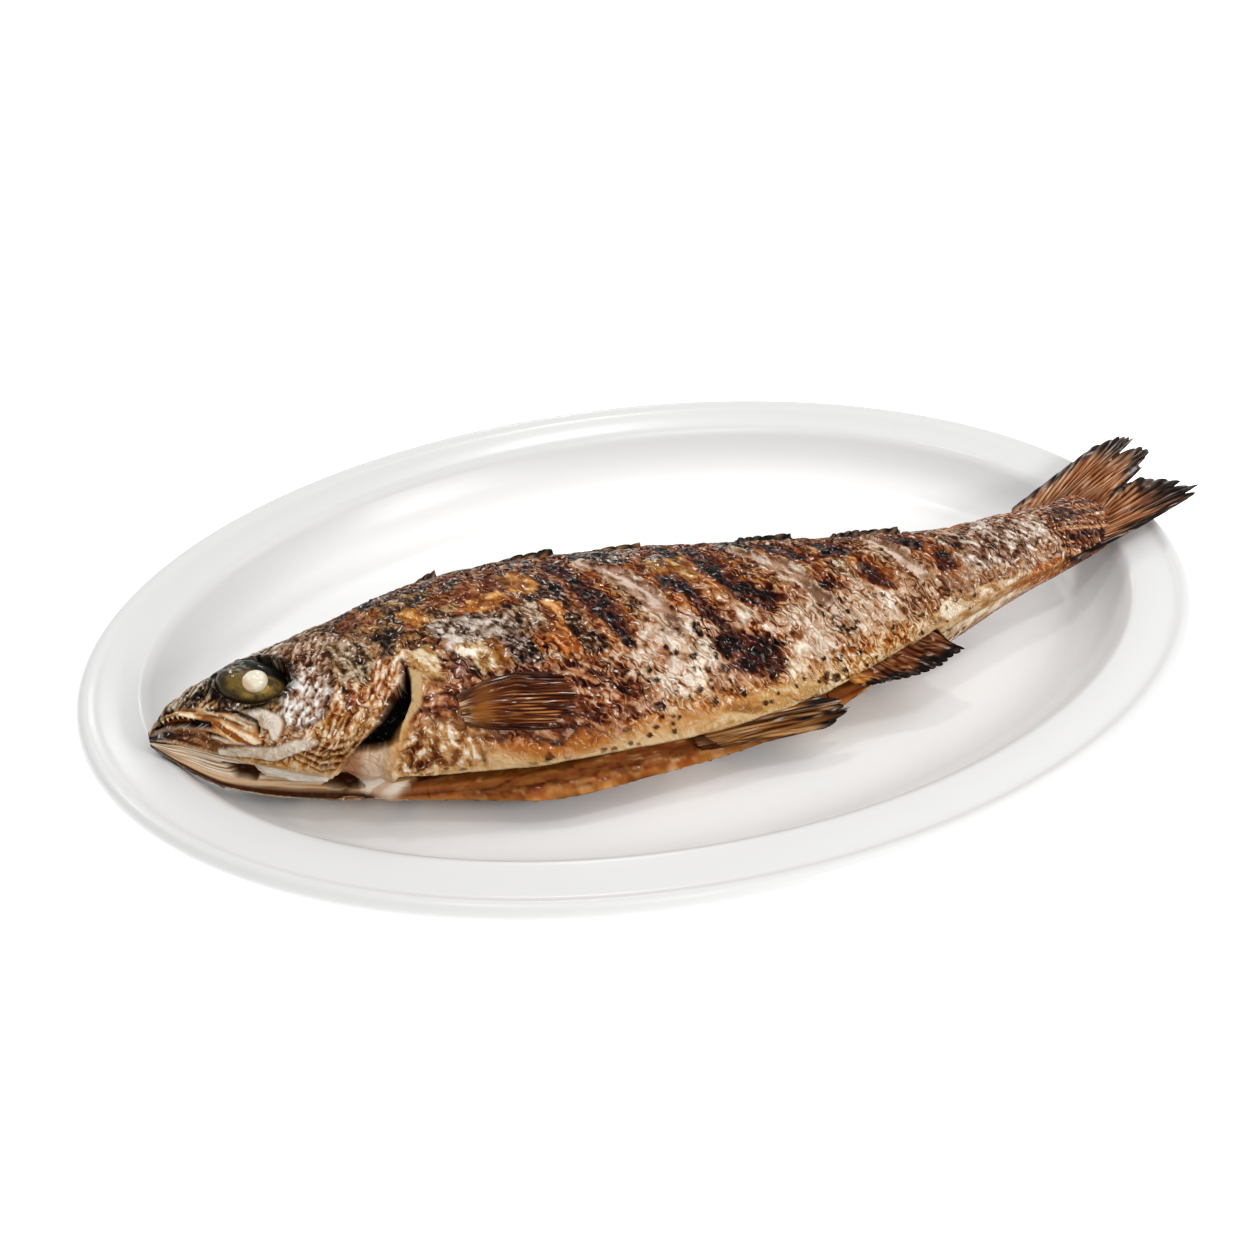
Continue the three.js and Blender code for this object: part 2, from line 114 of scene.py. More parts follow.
floor_mesh = bpy.data.meshes.new("floor")
floor_mesh.from_pydata([(x, y, 0) for x, y in ((-1, -1), (1, -1), (1, 1), (-1, 1))], [], [(0, 1, 2, 3)])
floor_mesh.transform(Matrix.Scale(FLOOR_HALF, 4))
floor = bpy.data.objects.new("floor", floor_mesh)
bpy.context.collection.objects.link(floor)
floor_paint = bpy.data.materials.new("white_table")
floor_paint.use_nodes = True
floor_shader = floor_paint.node_tree.nodes["Principled BSDF"]
floor_shader.inputs["Base Color"].default_value = (0.98, 0.98, 0.98, 1)
floor_shader.inputs["Roughness"].default_value = 0.9
floor_shader.inputs["Emission Color"].default_value = (1, 1, 1, 1)
floor_shader.inputs["Emission Strength"].default_value = FLOOR_GLOW
floor_mesh.materials.append(floor_paint)


# ---------------------------------------------------------------------------
# Platter. One piece of white porcelain with a clear glaze, pressed in an oval
# mould: a flat rim with a rounded lip, a steep wall, a flat well and a foot ring.

PLATTER_HALF_LENGTH = (plate_high.x - plate_low.x) / 2 / MM
PLATTER_HALF_WIDTH = (plate_high.y - plate_low.y) / 2 / MM
FLOOR_HEIGHT = 9.0
RECESS_HEIGHT = 2.6
PLATTER_WALL = np.array([
    (41, FLOOR_HEIGHT), (37, 9.5), (33, 11.2), (29.5, 14.2), (26, 18.2), (22.8, 23),
    (20.6, 25.8), (18, 27.3), (13, 27.5), (6.5, 27.1), (3.4, 28), (1.1, 27.2), (0, 25),
    (1.1, 22.8), (4, 21.9), (14, 21.6), (19, 20), (24, 14.4), (29, 8.4), (34, 4.6), (39, 3),
    (44, 2.4), (44.8, 0), (51.2, 0), (52, RECESS_HEIGHT)])
RIM_INSET, RIM_BLEND = 30, 8
WELL_TONE, RIM_SHADE_TONE = np.array([0.88, 0.878, 0.872]), np.array([0.65, 0.648, 0.643])
PLATTER_TURNS = 384
WALL_FINENESS = 5
FLOOR_RINGS = 10


def smooth_curve(xs, ys, x):
    """A monotone cubic through the points (xs, ys): each tangent is the harmonic mean of the slopes
    beside it, or level where they differ in sign."""
    xs, ys = np.asarray(xs, float), np.asarray(ys, float)
    slopes = np.diff(ys) / np.diff(xs)
    product = slopes[:-1] * slopes[1:]
    total = slopes[:-1] + slopes[1:]
    inner = np.where(product > 0, 2 * product / np.where(total == 0, 1, total), 0)
    tangents = np.concatenate([slopes[:1], inner, slopes[-1:]])
    i = np.clip(np.searchsorted(xs, x, side="right") - 1, 0, len(xs) - 2)
    width = xs[i + 1] - xs[i]
    t = (x - xs[i]) / width
    rise = (1 + 2 * t) * (1 - t) ** 2 * ys[i] + t * t * (3 - 2 * t) * ys[i + 1]
    return rise + width * t * (1 - t) * ((1 - t) * tangents[i] - t * tangents[i + 1])


def stacked(*grids):
    """Grids of numbers, spread to one size and joined as the columns of a last axis."""
    return np.stack(np.broadcast_arrays(*grids), -1)


def grid_faces(rows, columns, closed_rows=False, closed_columns=True):
    """The four-sided faces of a grid of rows by columns points, wrapped round where it closes."""
    i = np.arange(rows if closed_rows else rows - 1)[:, None]
    j = np.arange(columns if closed_columns else columns - 1)[None, :]
    down, across = (i + 1) % rows, (j + 1) % columns
    corners = i * columns + j, i * columns + across, down * columns + across, down * columns + j
    return stacked(*corners).reshape(-1, 4)


def fan_faces(centre, ring, backwards=False):
    """Triangles from a centre point to a ring of points."""
    after = np.roll(ring, -1)
    sides = (after, ring) if backwards else (ring, after)
    return np.stack([np.full(len(ring), centre), *sides], -1)


def add_piece(name, points, faces, material, layers=None):
    """Makes an object of points in millimetres from the platter's middle and of faces, given as arrays
    of three or four corners each. layers are named attributes with one value or colour a point."""
    mesh = bpy.data.meshes.new(name)
    points = np.asarray(points, float)
    corners = np.concatenate([f.ravel() for f in faces])
    sizes = np.concatenate([np.full(len(f), f.shape[1]) for f in faces])
    mesh.vertices.add(len(points))
    mesh.vertices.foreach_set("co", (points * MM + np.array(PLATTER_MIDDLE)).astype(np.float32).ravel())
    mesh.loops.add(len(corners))
    mesh.loops.foreach_set("vertex_index", corners.astype(np.int32))
    mesh.polygons.add(len(sizes))
    mesh.polygons.foreach_set("loop_start", np.concatenate([[0], np.cumsum(sizes)[:-1]]).astype(np.int32))
    mesh.polygons.foreach_set("use_smooth", np.ones(len(sizes), bool))
    mesh.update(calc_edges=True)
    mesh.validate()
    for key, values in (layers or {}).items():
        values = np.asarray(values, np.float32)
        if values.ndim == 2:
            layer = mesh.color_attributes.new(key, "FLOAT_COLOR", "POINT")
            opaque = np.column_stack([values, np.ones(len(values))])
            layer.data.foreach_set("color", opaque.astype(np.float32).ravel())
        else:
            layer = mesh.attributes.new(key, "FLOAT", "POINT")
            layer.data.foreach_set("value", values)
    mesh.materials.append(material)
    piece = bpy.data.objects.new(name, mesh)
    bpy.context.collection.objects.link(piece)
    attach(piece, "root")
    return piece


class Tree:
    """Short ways to add shader nodes to a material or a node group. Each gives back its output."""

    def __init__(self, tree):
        self.nodes, self.links = tree.nodes, tree.links

    def add(self, kind, inputs, output=0, **properties):
        """A node of this kind, with values or other outputs fed to its inputs by name or number."""
        node = self.nodes.new("ShaderNode" + kind)
        for key, value in properties.items():
            setattr(node, key, value)
        for key, value in inputs.items():
            if isinstance(value, bpy.types.NodeSocket):
                self.links.new(value, node.inputs[key])
            else:
                node.inputs[key].default_value = value
        return node.outputs[output]

    def attribute(self, name, output="Color"):
        """What a named attribute of the mesh holds."""
        return self.add("Attribute", {}, output, attribute_name=name)

    def maths(self, operation, a, b=0.0):
        """One sum of two values or outputs."""
        return self.add("Math", {0: a, 1: b}, operation=operation)

    def plus(self, a, b):
        """a + b."""
        return self.maths("ADD", a, b)

    def times(self, a, b):
        """a times b."""
        return self.maths("MULTIPLY", a, b)

    def vector(self, operation, a, inputs, output=0):
        """One sum of vectors, the further inputs given by number."""
        return self.add("VectorMath", {0: a, **inputs}, output, operation=operation)

    def ramp(self, value, low, high, to_low=0.0, to_high=1.0):
        """to_low below low and to_high above high, smoothly between them."""
        inputs = {0: value, 1: low, 2: high, 3: to_low, 4: to_high}
        return self.add("MapRange", inputs, interpolation_type="SMOOTHSTEP")

    def clouds(self, place, scale, detail=2.0, output=0):
        """Smooth noise of this scale, as a value or, at output 1, as a colour."""
        return self.add("TexNoise", {"Vector": place, "Scale": scale, "Detail": detail}, output)

    def mix(self, factor, a, b):
        """Colour b laid over a by the factor."""
        return self.add("Mix", {0: factor, 6: a, 7: b}, output=2, data_type="RGBA")

    def feed(self, socket, value):
        """Links an output to a named socket of the material's Principled shader."""
        self.links.new(value, self.nodes["Principled BSDF"].inputs[socket])


def new_material(name, **settings):
    """A material with the named sockets of its Principled shader set, and the tree of its nodes."""
    material = bpy.data.materials.new(name)
    material.use_nodes = True
    shader = material.node_tree.nodes["Principled BSDF"]
    for socket, value in settings.items():
        shader.inputs[socket.replace("_", " ").title().replace("Ior", "IOR")].default_value = value
    return material, Tree(material.node_tree)


knots = np.arange(len(PLATTER_WALL))
steps = np.linspace(0, len(knots) - 1, (len(knots) - 1) * WALL_FINENESS + 1)
inset = smooth_curve(knots, PLATTER_WALL[:, 0], steps)
height = smooth_curve(knots, PLATTER_WALL[:, 1], steps)
turns = np.arange(PLATTER_TURNS) * 2 * np.pi / PLATTER_TURNS
wall = stacked((PLATTER_HALF_LENGTH - inset[:, None]) * np.cos(turns),
               (PLATTER_HALF_WIDTH - inset[:, None]) * np.sin(turns), height[:, None])
inner_shares = np.linspace(1, 0, FLOOR_RINGS + 2)[1:-1]
floor_rings = wall[:1] * np.array([1, 1, 0]) * inner_shares[::-1, None, None] + np.array([0, 0, FLOOR_HEIGHT])
base_rings = wall[-1:] * np.array([1, 1, 0]) * inner_shares[:, None, None] + np.array([0, 0, RECESS_HEIGHT])
rings = np.concatenate([floor_rings, wall, base_rings])
points = np.concatenate([rings.reshape(-1, 3), [[0, 0, FLOOR_HEIGHT], [0, 0, RECESS_HEIGHT]]])
count = len(rings) * PLATTER_TURNS
last_ring = np.arange(count - PLATTER_TURNS, count)
platter_faces = [grid_faces(len(rings), PLATTER_TURNS)[:, ::-1],
                 fan_faces(count, np.arange(PLATTER_TURNS)),
                 fan_faces(count + 1, last_ring, backwards=True)]
# The rim, lip and outer edge are painted greyer than the well: painted shade on the same white glaze.
rim_shade_share = np.clip((RIM_INSET - inset) / RIM_BLEND, 0, 1)
ring_shares = np.concatenate([np.zeros(len(floor_rings)), rim_shade_share, np.zeros(len(base_rings))])
point_shares = np.append(np.repeat(ring_shares, PLATTER_TURNS), [0, 0])
glaze_and_rim_shade = WELL_TONE + (RIM_SHADE_TONE - WELL_TONE) * point_shares[:, None]
porcelain, tree = new_material("glazed_porcelain", roughness=0.4, coat_weight=0.3, coat_roughness=0.22)
tree.feed("Base Color", tree.attribute("glaze_and_rim_shade"))
platter = add_piece("platter", points, platter_faces, porcelain, {"glaze_and_rim_shade": glaze_and_rim_shade})
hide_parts("plate")


# ---------------------------------------------------------------------------
# Fish body. A gutted trout-like fish, grilled whole over charcoal until its
# oiled skin browned, wrinkled and split. It lies on its right side, so both
# flanks are one skin, with the belly slit and the throat between the flaps.

MIDDLE_HEIGHT = 33.0
FULLNESS_UP = 0.85
FULLNESS_DOWN = 0.8
FLAP_SHARE, FLAP_END = 0.36, 0.12
CLEARANCE = 0.3
WALL_GAP_SHARE = 0.04
STATION_X = [-157, -150, -138, -120, -100, -75, -45, -10, 25, 60, 90, 115, 135, 150, 161]
STATIONS = {
    "back": [-21.5, -14, -8.3, -2.4, 4.6, 14, 17, 12.5, 6, -1.5, -4, 0.5, 5, 11.5, 12.5],
    "upper_flap": [-23.5, -25, -33, -43.5, -52.4, -58.6, -62.4, -62.9, -58.5, -47, -35.4, -26, -20.3, -15,
                   -5],
    "upper_flap_z": [32.5, 31, 30.5, 30, 30, 30, 30, 30, 30, 31.5, 32.5, 33, 33, 33, 33],
    "lower_flap": [-23.5, -28.5, -36.5, -43.5, -49.5, -58, -66, -64, -59, -47.6, -35.6, -26.2, -20.4,
                   -15.1, -5.1],
    "lower_flap_z": [32, 27, 22, 19.5, 18.9, 19.2, 19.5, 20, 20, 26, 31, 32, 32.4, 32.6, 32.8],
    "slit_depth": [0, 0.5, 1.5, 3, 3, 12, 24, 26, 22, 1, 0, 0, 0, 0, 0],
    "up": [2.2, 7.6, 12.8, 18.4, 22, 24.5, 25.5, 25.5, 24, 21, 17, 13, 9, 4.2, 1.2],
    "down": [2.2, 7.5, 13, 19, 22.5, 23.6, 23.7, 23.7, 23.6, 21, 16.5, 12, 8.5, 5, 1.2],
    "keel": [0.8, 1.6, 2.1, 2.3, 2.4, 2.3, 2.2, 1.95, 2, 1.75, 0.8, 0.8, 0.8, 0.8, 0.8],
}
CREST = 55.0
CREST_SHARE = 0.7
UNDER_RELIEF = 0.45
LEVEL_END = 4
GILL_ROW = -84.0
HEAD_ROWS = 243
TRUNK_ROWS = 490
UPPER_COLUMNS = 216
SLIT_INNER_COLUMNS = 44
SLIT_LIP_COLUMNS = 30
SLIT_LIP = 1.86
LOWER_COLUMNS = 90
WELL_INSET = PLATTER_WALL[0, 0]
wall_inside = PLATTER_WALL[:np.argmax(PLATTER_WALL[:, 0] < 4)][::-1]


def platter_top(x, y):
    """Height of the platter's upper face: that of its wall on the one inset ellipse that passes
    through (x, y), found by halving."""
    near, far = np.zeros_like(x), np.full_like(x, WELL_INSET)
    for _ in range(16):
        inset = (near + far) / 2
        outside = np.hypot(x / (PLATTER_HALF_LENGTH - inset), y / (PLATTER_HALF_WIDTH - inset)) > 1
        near, far = np.where(outside, near, inset), np.where(outside, inset, far)
    return np.where(far >= WELL_INSET, FLOOR_HEIGHT, smooth_curve(*wall_inside.T, far))


def settled(points, gap=CLEARANCE):
    """The points, with those that would sink into the platter lifted to lie on it."""
    support = platter_top(points[..., 0], points[..., 1])
    lowest = support + gap + WALL_GAP_SHARE * (support - FLOOR_HEIGHT)
    return np.concatenate([points[..., :2], np.maximum(points[..., 2:], lowest[..., None])], -1)


def ease(low, high, value):
    """0 below low and 1 above high, with 3t²-2t³ between them. low may be the larger one."""
    t = np.clip((value - low) / (high - low), 0, 1)
    return t * t * (3 - 2 * t)


def skin(x, v):
    """The fish's surface at place x along it and v round it. v runs from the back, 0, over the left
    side to the upper belly flap, 1, in and out of the slit to the lower flap, 2, and under the right
    side to the back again, 3. Each side is a squared half ellipse."""
    back, upper, upper_z, lower, lower_z, depth, up, down, keel = (
        smooth_curve(STATION_X, heights, x) for heights in STATIONS.values())
    turn = np.pi * np.clip(v, 0, 1)
    top_y = (back + upper) / 2 + (back - upper) / 2 * np.cos(turn)
    top_z = MIDDLE_HEIGHT + up * np.abs(np.sin(turn)) ** FULLNESS_UP
    top_z = top_z + (upper_z - MIDDLE_HEIGHT) * ((1 - np.cos(turn)) / 2) ** 2
    share = np.clip(v - 1, 0, 1)
    slit_y = upper + (lower - upper) * share + depth * np.abs(np.sin(np.pi * share)) ** 0.6
    between_flaps = FLAP_SHARE + (1 - 2 * FLAP_SHARE) * ease(FLAP_END, 1 - FLAP_END, share)
    stepped = np.where(share < FLAP_END, FLAP_SHARE * share / FLAP_END, np.where(
        share > 1 - FLAP_END, 1 - FLAP_SHARE * (1 - share) / FLAP_END, between_flaps))
    level = share + (stepped - share) * np.minimum(1, depth / 8)
    slit_z = upper_z + (lower_z - upper_z) * level
    turn = np.pi * np.clip(v - 2, 0, 1)
    low_y = (back + lower) / 2 - (back - lower) / 2 * np.cos(turn)
    near_flap = (1 + np.cos(turn)) / 2
    fullness = FULLNESS_DOWN + (keel - FULLNESS_DOWN) * near_flap
    low_z = MIDDLE_HEIGHT - down * np.abs(np.sin(turn)) ** fullness
    low_z = low_z + (lower_z - MIDDLE_HEIGHT) * near_flap ** 2
    y = np.where(v <= 1, top_y, np.where(v <= 2, slit_y, low_y))
    z = np.where(v <= 1, top_z, np.where(v <= 2, slit_z, low_z))
    return stacked(x, y, z)


rows = np.concatenate([np.linspace(STATION_X[0], GILL_ROW, HEAD_ROWS)[:-1],
                       np.linspace(GILL_ROW, STATION_X[-1], TRUNK_ROWS + 1)])
columns = np.concatenate([np.linspace(0, 1, UPPER_COLUMNS + 1)[:-1],
                          np.linspace(1, SLIT_LIP, SLIT_INNER_COLUMNS + 1)[:-1],
                          np.linspace(SLIT_LIP, 2, SLIT_LIP_COLUMNS + 1)[:-1],
                          np.linspace(2, 3, LOWER_COLUMNS + 1)[:-1]])
body = settled(skin(rows[:, None], columns[None, :]))
underside = np.broadcast_to(columns > 2, body.shape[:2])
twin = np.where(underside[..., None], skin(rows[:, None], 3 - columns[None, :]), body)
FLANK_STEPS = np.linspace(0, 1, 101)
steps = np.linalg.norm(np.diff(skin(rows[:, None], FLANK_STEPS[None, :]), axis=1), axis=2)
girth = np.cumsum(np.pad(steps, ((0, 0), (1, 0))), axis=1)

# Every point of the skin is coloured as its twin on the left flank. POINTS are the twins, X how far along
# the fish they lie, ARC their v, and LENGTH their skin's length from the back. ROUND is the point's own v,
# and UNDER marks the right flank.
POINTS = twin.reshape(-1, 3)
X = POINTS[:, 0]
ROUND = np.broadcast_to(columns, body.shape[:2]).ravel()
ARC = np.where(ROUND > 2, 3 - ROUND, ROUND)
UNDER = underside.ravel()
THROAT_LENGTH = 12


def chart(x, v):
    """Places on the skin laid flat: x, and the length of skin from the back midline in millimetres."""
    row = np.abs(rows - x).argmin()
    return x, np.interp(min(v, 1), FLANK_STEPS, girth[row]) + THROAT_LENGTH * max(v - 1, 0)


on_flank = np.minimum(ARC[:len(columns)], 1)
flank_lengths = np.concatenate([np.interp(on_flank, FLANK_STEPS, row_girth) for row_girth in girth])
LENGTH = flank_lengths + THROAT_LENGTH * np.maximum(ARC - 1, 0)


def hashed(cell, seed):
    """A random value from 0 to 1 of each lattice cell's own, by mixing the bits of its coordinates."""
    key = cell @ np.array([73856093, 19349663, 83492791])[:cell.shape[1]] + seed * 2654435761
    key = (key & 0xFFFFFFFF).astype(np.uint32)
    key = (key ^ (key >> 15)) * np.uint32(0x2C1B3C6D)
    key = (key ^ (key >> 12)) * np.uint32(0x297A2D39)
    return (key ^ (key >> 15)) / 2 ** 32


def noise(points, seed=0, octaves=1):
    """Smooth random values from 0 to 1. Those of a cubic lattice's corners are blended by 3t²-2t³, and
    each further octave is twice as fine and half as strong."""
    total, strength, sum_of_strengths = 0, 1.0, 0
    for octave in range(octaves):
        scaled = points * 2 ** octave + 17.3 * octave
        cell = np.floor(scaled)
        t = scaled - cell
        t = t * t * (3 - 2 * t)
        cell = cell.astype(np.int64)
        for corner in np.ndindex(2, 2, 2):
            weight = np.prod(np.where(corner, t, 1 - t), axis=1)
            total = total + strength * weight * hashed(cell + corner, seed + 31 * octave)
        sum_of_strengths += strength
        strength /= 2
    return total / sum_of_strengths


def cells(points, seed):
    """Flat cells of about unit size round one random point in each square of a lattice: the distance
    to the nearest point, how much further off the next one is, and a random value of the cell's own."""
    square = np.floor(points).astype(np.int64)
    near, after, value = np.full(len(points), 9.0), np.full(len(points), 9.0), np.zeros(len(points))
    for offset in np.ndindex(3, 3):
        cell = square + offset - 1
        middle = cell + np.stack([hashed(cell, seed), hashed(cell, seed + 1)], -1)
        distance = np.linalg.norm(middle - points, axis=1)
        closer = distance < near
        after = np.where(closer, near, np.minimum(after, distance))
        value = np.where(closer, hashed(cell, seed + 2), value)
        near = np.minimum(near, distance)
    return near, after - near, value


def blend(at, stops, values):
    """Rows of values, such as tones or points, given at the stops and interpolated at other places."""
    return np.stack([np.interp(at, stops, column) for column in np.array(values, float).T], -1)


def line_on_skin(places, fineness=5):
    """A line of points in space through places on the skin, given as (x, v)."""
    at = np.linspace(0, len(places) - 1, (len(places) - 1) * fineness + 1)
    return skin(*blend(at, np.arange(len(places)), places).T)


def reach(places, margin=14.0):
    """For every point of the skin, its distance from a line through places and how far along the line
    it lies, from 0 to 1. Points further than the margin along the fish get 99."""
    line = line_on_skin(places)
    distance, along = np.full(len(X), 99.0), np.zeros(len(X))
    near = np.flatnonzero((X > line[:, 0].min() - margin) & (X < line[:, 0].max() + margin))
    best, share = np.full(len(near), 99.0), np.zeros(len(near))
    for i, (start, end) in enumerate(zip(line[:-1], line[1:])):
        run = end - start
        offset = POINTS[near] - start
        t = np.clip(offset @ run / (run @ run), 0, 1)
        away = np.linalg.norm(offset - t[:, None] * run, axis=1)
        closer = away < best
        best[closer], share[closer] = away[closer], (i + t[closer]) / (len(line) - 1)
    distance[near], along[near] = best, share
    return distance, along


def brush(places, width, soft=0.5, ragged=0.0, grain=4.0, seed=0, taper=0.0):
    """A mask, 1 on a stroke of this width through places and 0 off it. Its edge is soft, or ragged by
    that many millimetres at the size of the grain, and taper narrows its two ends."""
    distance, along = reach(places)
    half = width / 2 * (1 - taper * np.abs(2 * along - 1) ** 2)
    near = np.flatnonzero(distance < width / 2 + soft + ragged)
    distance[near] += ragged * (2 * noise(POINTS[near] / grain, seed, 3) - 1)
    return ease(half + soft, half - soft, distance)


def patch(places, soft=0.5, ragged=0.0, grain=4.0, seed=0):
    """A mask, 1 inside the outline through places and 0 outside, by counting the edges crossed on the
    flat chart. Its edge is soft or ragged as a brush's is."""
    outline = np.array([chart(*place) for place in places])
    spread = soft + ragged
    low, high = outline.min(0) - spread, outline.max(0) + spread
    near = np.flatnonzero((X > low[0]) & (X < high[0]) & (LENGTH > low[1]) & (LENGTH < high[1]))
    x, length = X[near], LENGTH[near]
    inside, distance = np.zeros(len(near), bool), np.full(len(near), 99.0)
    for (x0, s0), (x1, s1) in zip(outline, np.roll(outline, -1, 0)):
        crosses = (s0 > length) != (s1 > length)
        inside ^= crosses & (x < (x1 - x0) * (length - s0) / (s1 - s0 + 1e-9) + x0)
        along_edge = (x - x0) * (x1 - x0) + (length - s0) * (s1 - s0)
        t = np.clip(along_edge / ((x1 - x0) ** 2 + (s1 - s0) ** 2), 0, 1)
        distance = np.minimum(distance, np.hypot(x - x0 - t * (x1 - x0), length - s0 - t * (s1 - s0)))
    depth = np.where(inside, distance, -distance) + ragged * (2 * noise(POINTS[near] / grain, seed, 3) - 1)
    mask = np.zeros(len(X))
    mask[near] = ease(-soft, soft, depth)
    return mask


def paint(colour, mask, tone):
    """The colours, with a tone laid over them where the mask is 1."""
    return colour + (tone - colour) * mask[..., None]


def shade(red, green, blue):
    """A colour given as 0 to 255 screen values, turned into linear light by the sRGB curve."""
    screen = np.array([red, green, blue]) / 255
    return np.where(screen <= 0.04045, screen / 12.92, ((screen + 0.055) / 1.055) ** 2.4)


# The skin dried into curled flakes with dark creases between them, darkened further by painted shade.
# Each tone of a flake, from the creases to its crest, changes from the back round to the belly's edge.
FLANK_ARCS = [0, 0.25, 0.42, 0.55, 0.68, 0.82, 0.9, 0.96, 1.0]
FLANK_TONES = [
    [(14, 9, 7), (18, 11, 8), (26, 12, 6), (38, 14, 5), (52, 20, 5), (74, 32, 8), (88, 40, 8), (130, 72, 18),
     (156, 98, 38)],
    [(70, 44, 28), (84, 54, 34), (104, 64, 38), (128, 78, 44), (152, 98, 56), (168, 116, 70), (172, 116, 60),
     (182, 124, 58), (198, 148, 84)],
    [(124, 94, 68), (140, 108, 80), (158, 122, 90), (180, 144, 110), (196, 164, 134), (204, 174, 144),
     (204, 168, 126), (206, 160, 104), (216, 182, 132)],
    [(196, 176, 152), (208, 186, 158), (222, 198, 168), (234, 214, 188), (240, 224, 204), (242, 228, 210),
     (234, 214, 184), (226, 200, 156), (226, 202, 154)]]
TAIL_TONES = [(80, 46, 26), (144, 104, 76), (192, 162, 138), (240, 234, 228)]
TONE_STEPS = [0.04, 0.26, 0.48, 0.8]
GRAIN = math.radians(58)
wander = noise(POINTS / 15, 1, 3) - 0.5
mottle = noise(POINTS / 5, 2, 3) - 0.5
grit = noise(POINTS / 0.9, 3, 2) - 0.5
wavy_arc = ARC + 0.05 * wander
on_side = np.where(X > 60, 1.0, ease(1.02, 0.97, ARC))
around = ARC + np.where(ARC < 0.85, 0.18 * wander, 0)
tail = ease(72, 96, X + 8 * wander + 12 * (ARC - 0.5)) * on_side
FLAT = np.column_stack([X + 400.0 * UNDER, LENGTH])
grain = FLAT @ np.array([(math.cos(GRAIN), math.sin(GRAIN)), (math.sin(GRAIN), -math.cos(GRAIN))])
curl = np.stack([noise(POINTS / 4.5, seed, 2) - 0.5 for seed in (31, 32)], -1)
fine_curl = np.stack([noise(POINTS / 1.6, seed, 2) - 0.5 for seed in (33, 34)], -1)
_, flake_edge, flake_tone = cells(grain / (4.6, 2.2) + 1.7 * curl + 0.3 * fine_curl, 35)
crevice = ease(0.2, 0.03, flake_edge)


def curled(length, width, seed):
    """1 on the crests of curled strands of this length and width that follow the skin's grain."""
    place = np.column_stack([grain / (length, width) + 2.2 * curl + 0.25 * fine_curl, 400.0 * UNDER])
    return ease(0.13, 0.02, np.abs(noise(place, seed, 1) - 0.5))


def hatch(mask, angle, length, width, seed, lie=FLAT):
    """Broken streaks of noise of this length and width, running at an angle in degrees on a flat chart.
    They are worked out where the mask is above 0, and are 0.5 elsewhere."""
    near = np.flatnonzero(mask > 0)
    cosine, sine = math.cos(math.radians(angle)), math.sin(math.radians(angle))
    run, over = lie[near] @ (cosine, sine), lie[near] @ (sine, -cosine)
    bent = np.column_stack([run / length, over / width]) + 1.5 * curl[near]
    broken = noise(np.column_stack([bent, UNDER[near]]), seed, 2) - 0.5
    broken = broken * (0.5 + 0.9 * noise(POINTS[near] / 2.6, seed + 40))
    streaks = np.full(len(X), 0.5)
    streaks[near] += broken + 0.3 * mottle[near] + 0.12 * grit[near]
    return streaks


def blots(low, high, size, seed, octaves=3):
    """Blots of about this size: noise over the skin, eased from 0 at low to 1 at high."""
    return ease(low, high, noise(POINTS / size, seed, octaves))


def stain(mask, tone):
    """Lays a tone of screen values over the skin's colour where the mask is 1."""
    colour[:] = paint(colour, mask, shade(*tone))


def dapple(mask, streaks, dark, middle, light):
    """Stains the skin a middle tone under the mask, with dark low streaks and light high ones."""
    stain(mask, middle)
    stain(mask * ease(0.47, 0.33, streaks), dark)
    stain(mask * ease(0.54, 0.66, streaks), light)


strand = np.maximum(curled(3.6, 1.5, 36), 0.75 * curled(2.2, 1.0, 37))
belly = ease(0.88, 0.94, wavy_arc) * ease(-84, -76, X) * ease(34, 10, X)
crevice = crevice * (1 - belly)
# Flake edges take darker tones: painted shade in the creases between flakes.
flaky = 0.1 * strand - 0.2 * crevice * (1 - 0.5 * tail) + 0.26 * (flake_tone - 0.5)
patchy = 0.62 * mottle + 0.14 * grit
lower_flank = 0.14 * ease(0.5, 0.78, around) + 0.07 * ease(10, 30, X) * ease(0.5, 0.65, ARC) * (1 - tail)
dryness = (0.26 + flaky * (1 - 0.8 * belly) + patchy * (1 - 0.7 * belly) + 0.16 * belly * (wander + 0.8)
           + lower_flank - 0.12 * ease(0.5, 0.25, ARC) + 0.08 * tail)
tones = [blend(around, FLANK_ARCS, [shade(*tone) for tone in row]) for row in FLANK_TONES]
tones = [paint(tone, tail, shade(*tail_tone)) for tone, tail_tone in zip(tones, TAIL_TONES)]
colour = tones[0]
for low, high, tone in zip(TONE_STEPS[:-1], TONE_STEPS[1:], tones[1:]):
    colour = paint(colour, np.clip((dryness - low) / (high - low), 0, 1), tone)

# The tail's root kept its small pale scales, between a brown back and a brown keel.
_, scale_edge, scale_tone = cells(FLAT / (2.4, 1.8) + 0.5 * curl, 41)
scale_rim = ease(0.3, 0.05, scale_edge)
stain(0.45 * tail * scale_rim, (104, 76, 58))
stain(0.5 * tail * ease(0.45, 0.8, scale_tone) * (1 - scale_rim), (238, 230, 222))
tail_arc = ARC + 0.15 * wander
stain(0.6 * tail * ease(0.34, 0.2, tail_arc), (116, 76, 46))
stain(0.5 * tail * ease(0.74, 0.88, tail_arc), (150, 98, 56))

# Rusty patches along the middle of the flank.
bright = ease(0.6, 0.85, dryness)
rust = ease(0.04, 0.14, noise(POINTS / 6.5, 4, 3) - 0.5) * ease(0.3, 0.42, ARC) * ease(0.95, 0.82, ARC)
rust *= on_side * (1 - 0.85 * bright) * (1 - 0.6 * tail) * (1 - 0.75 * ease(0, 25, X) * ease(0.5, 0.62, ARC))
stain(0.8 * rust, (148, 84, 28))

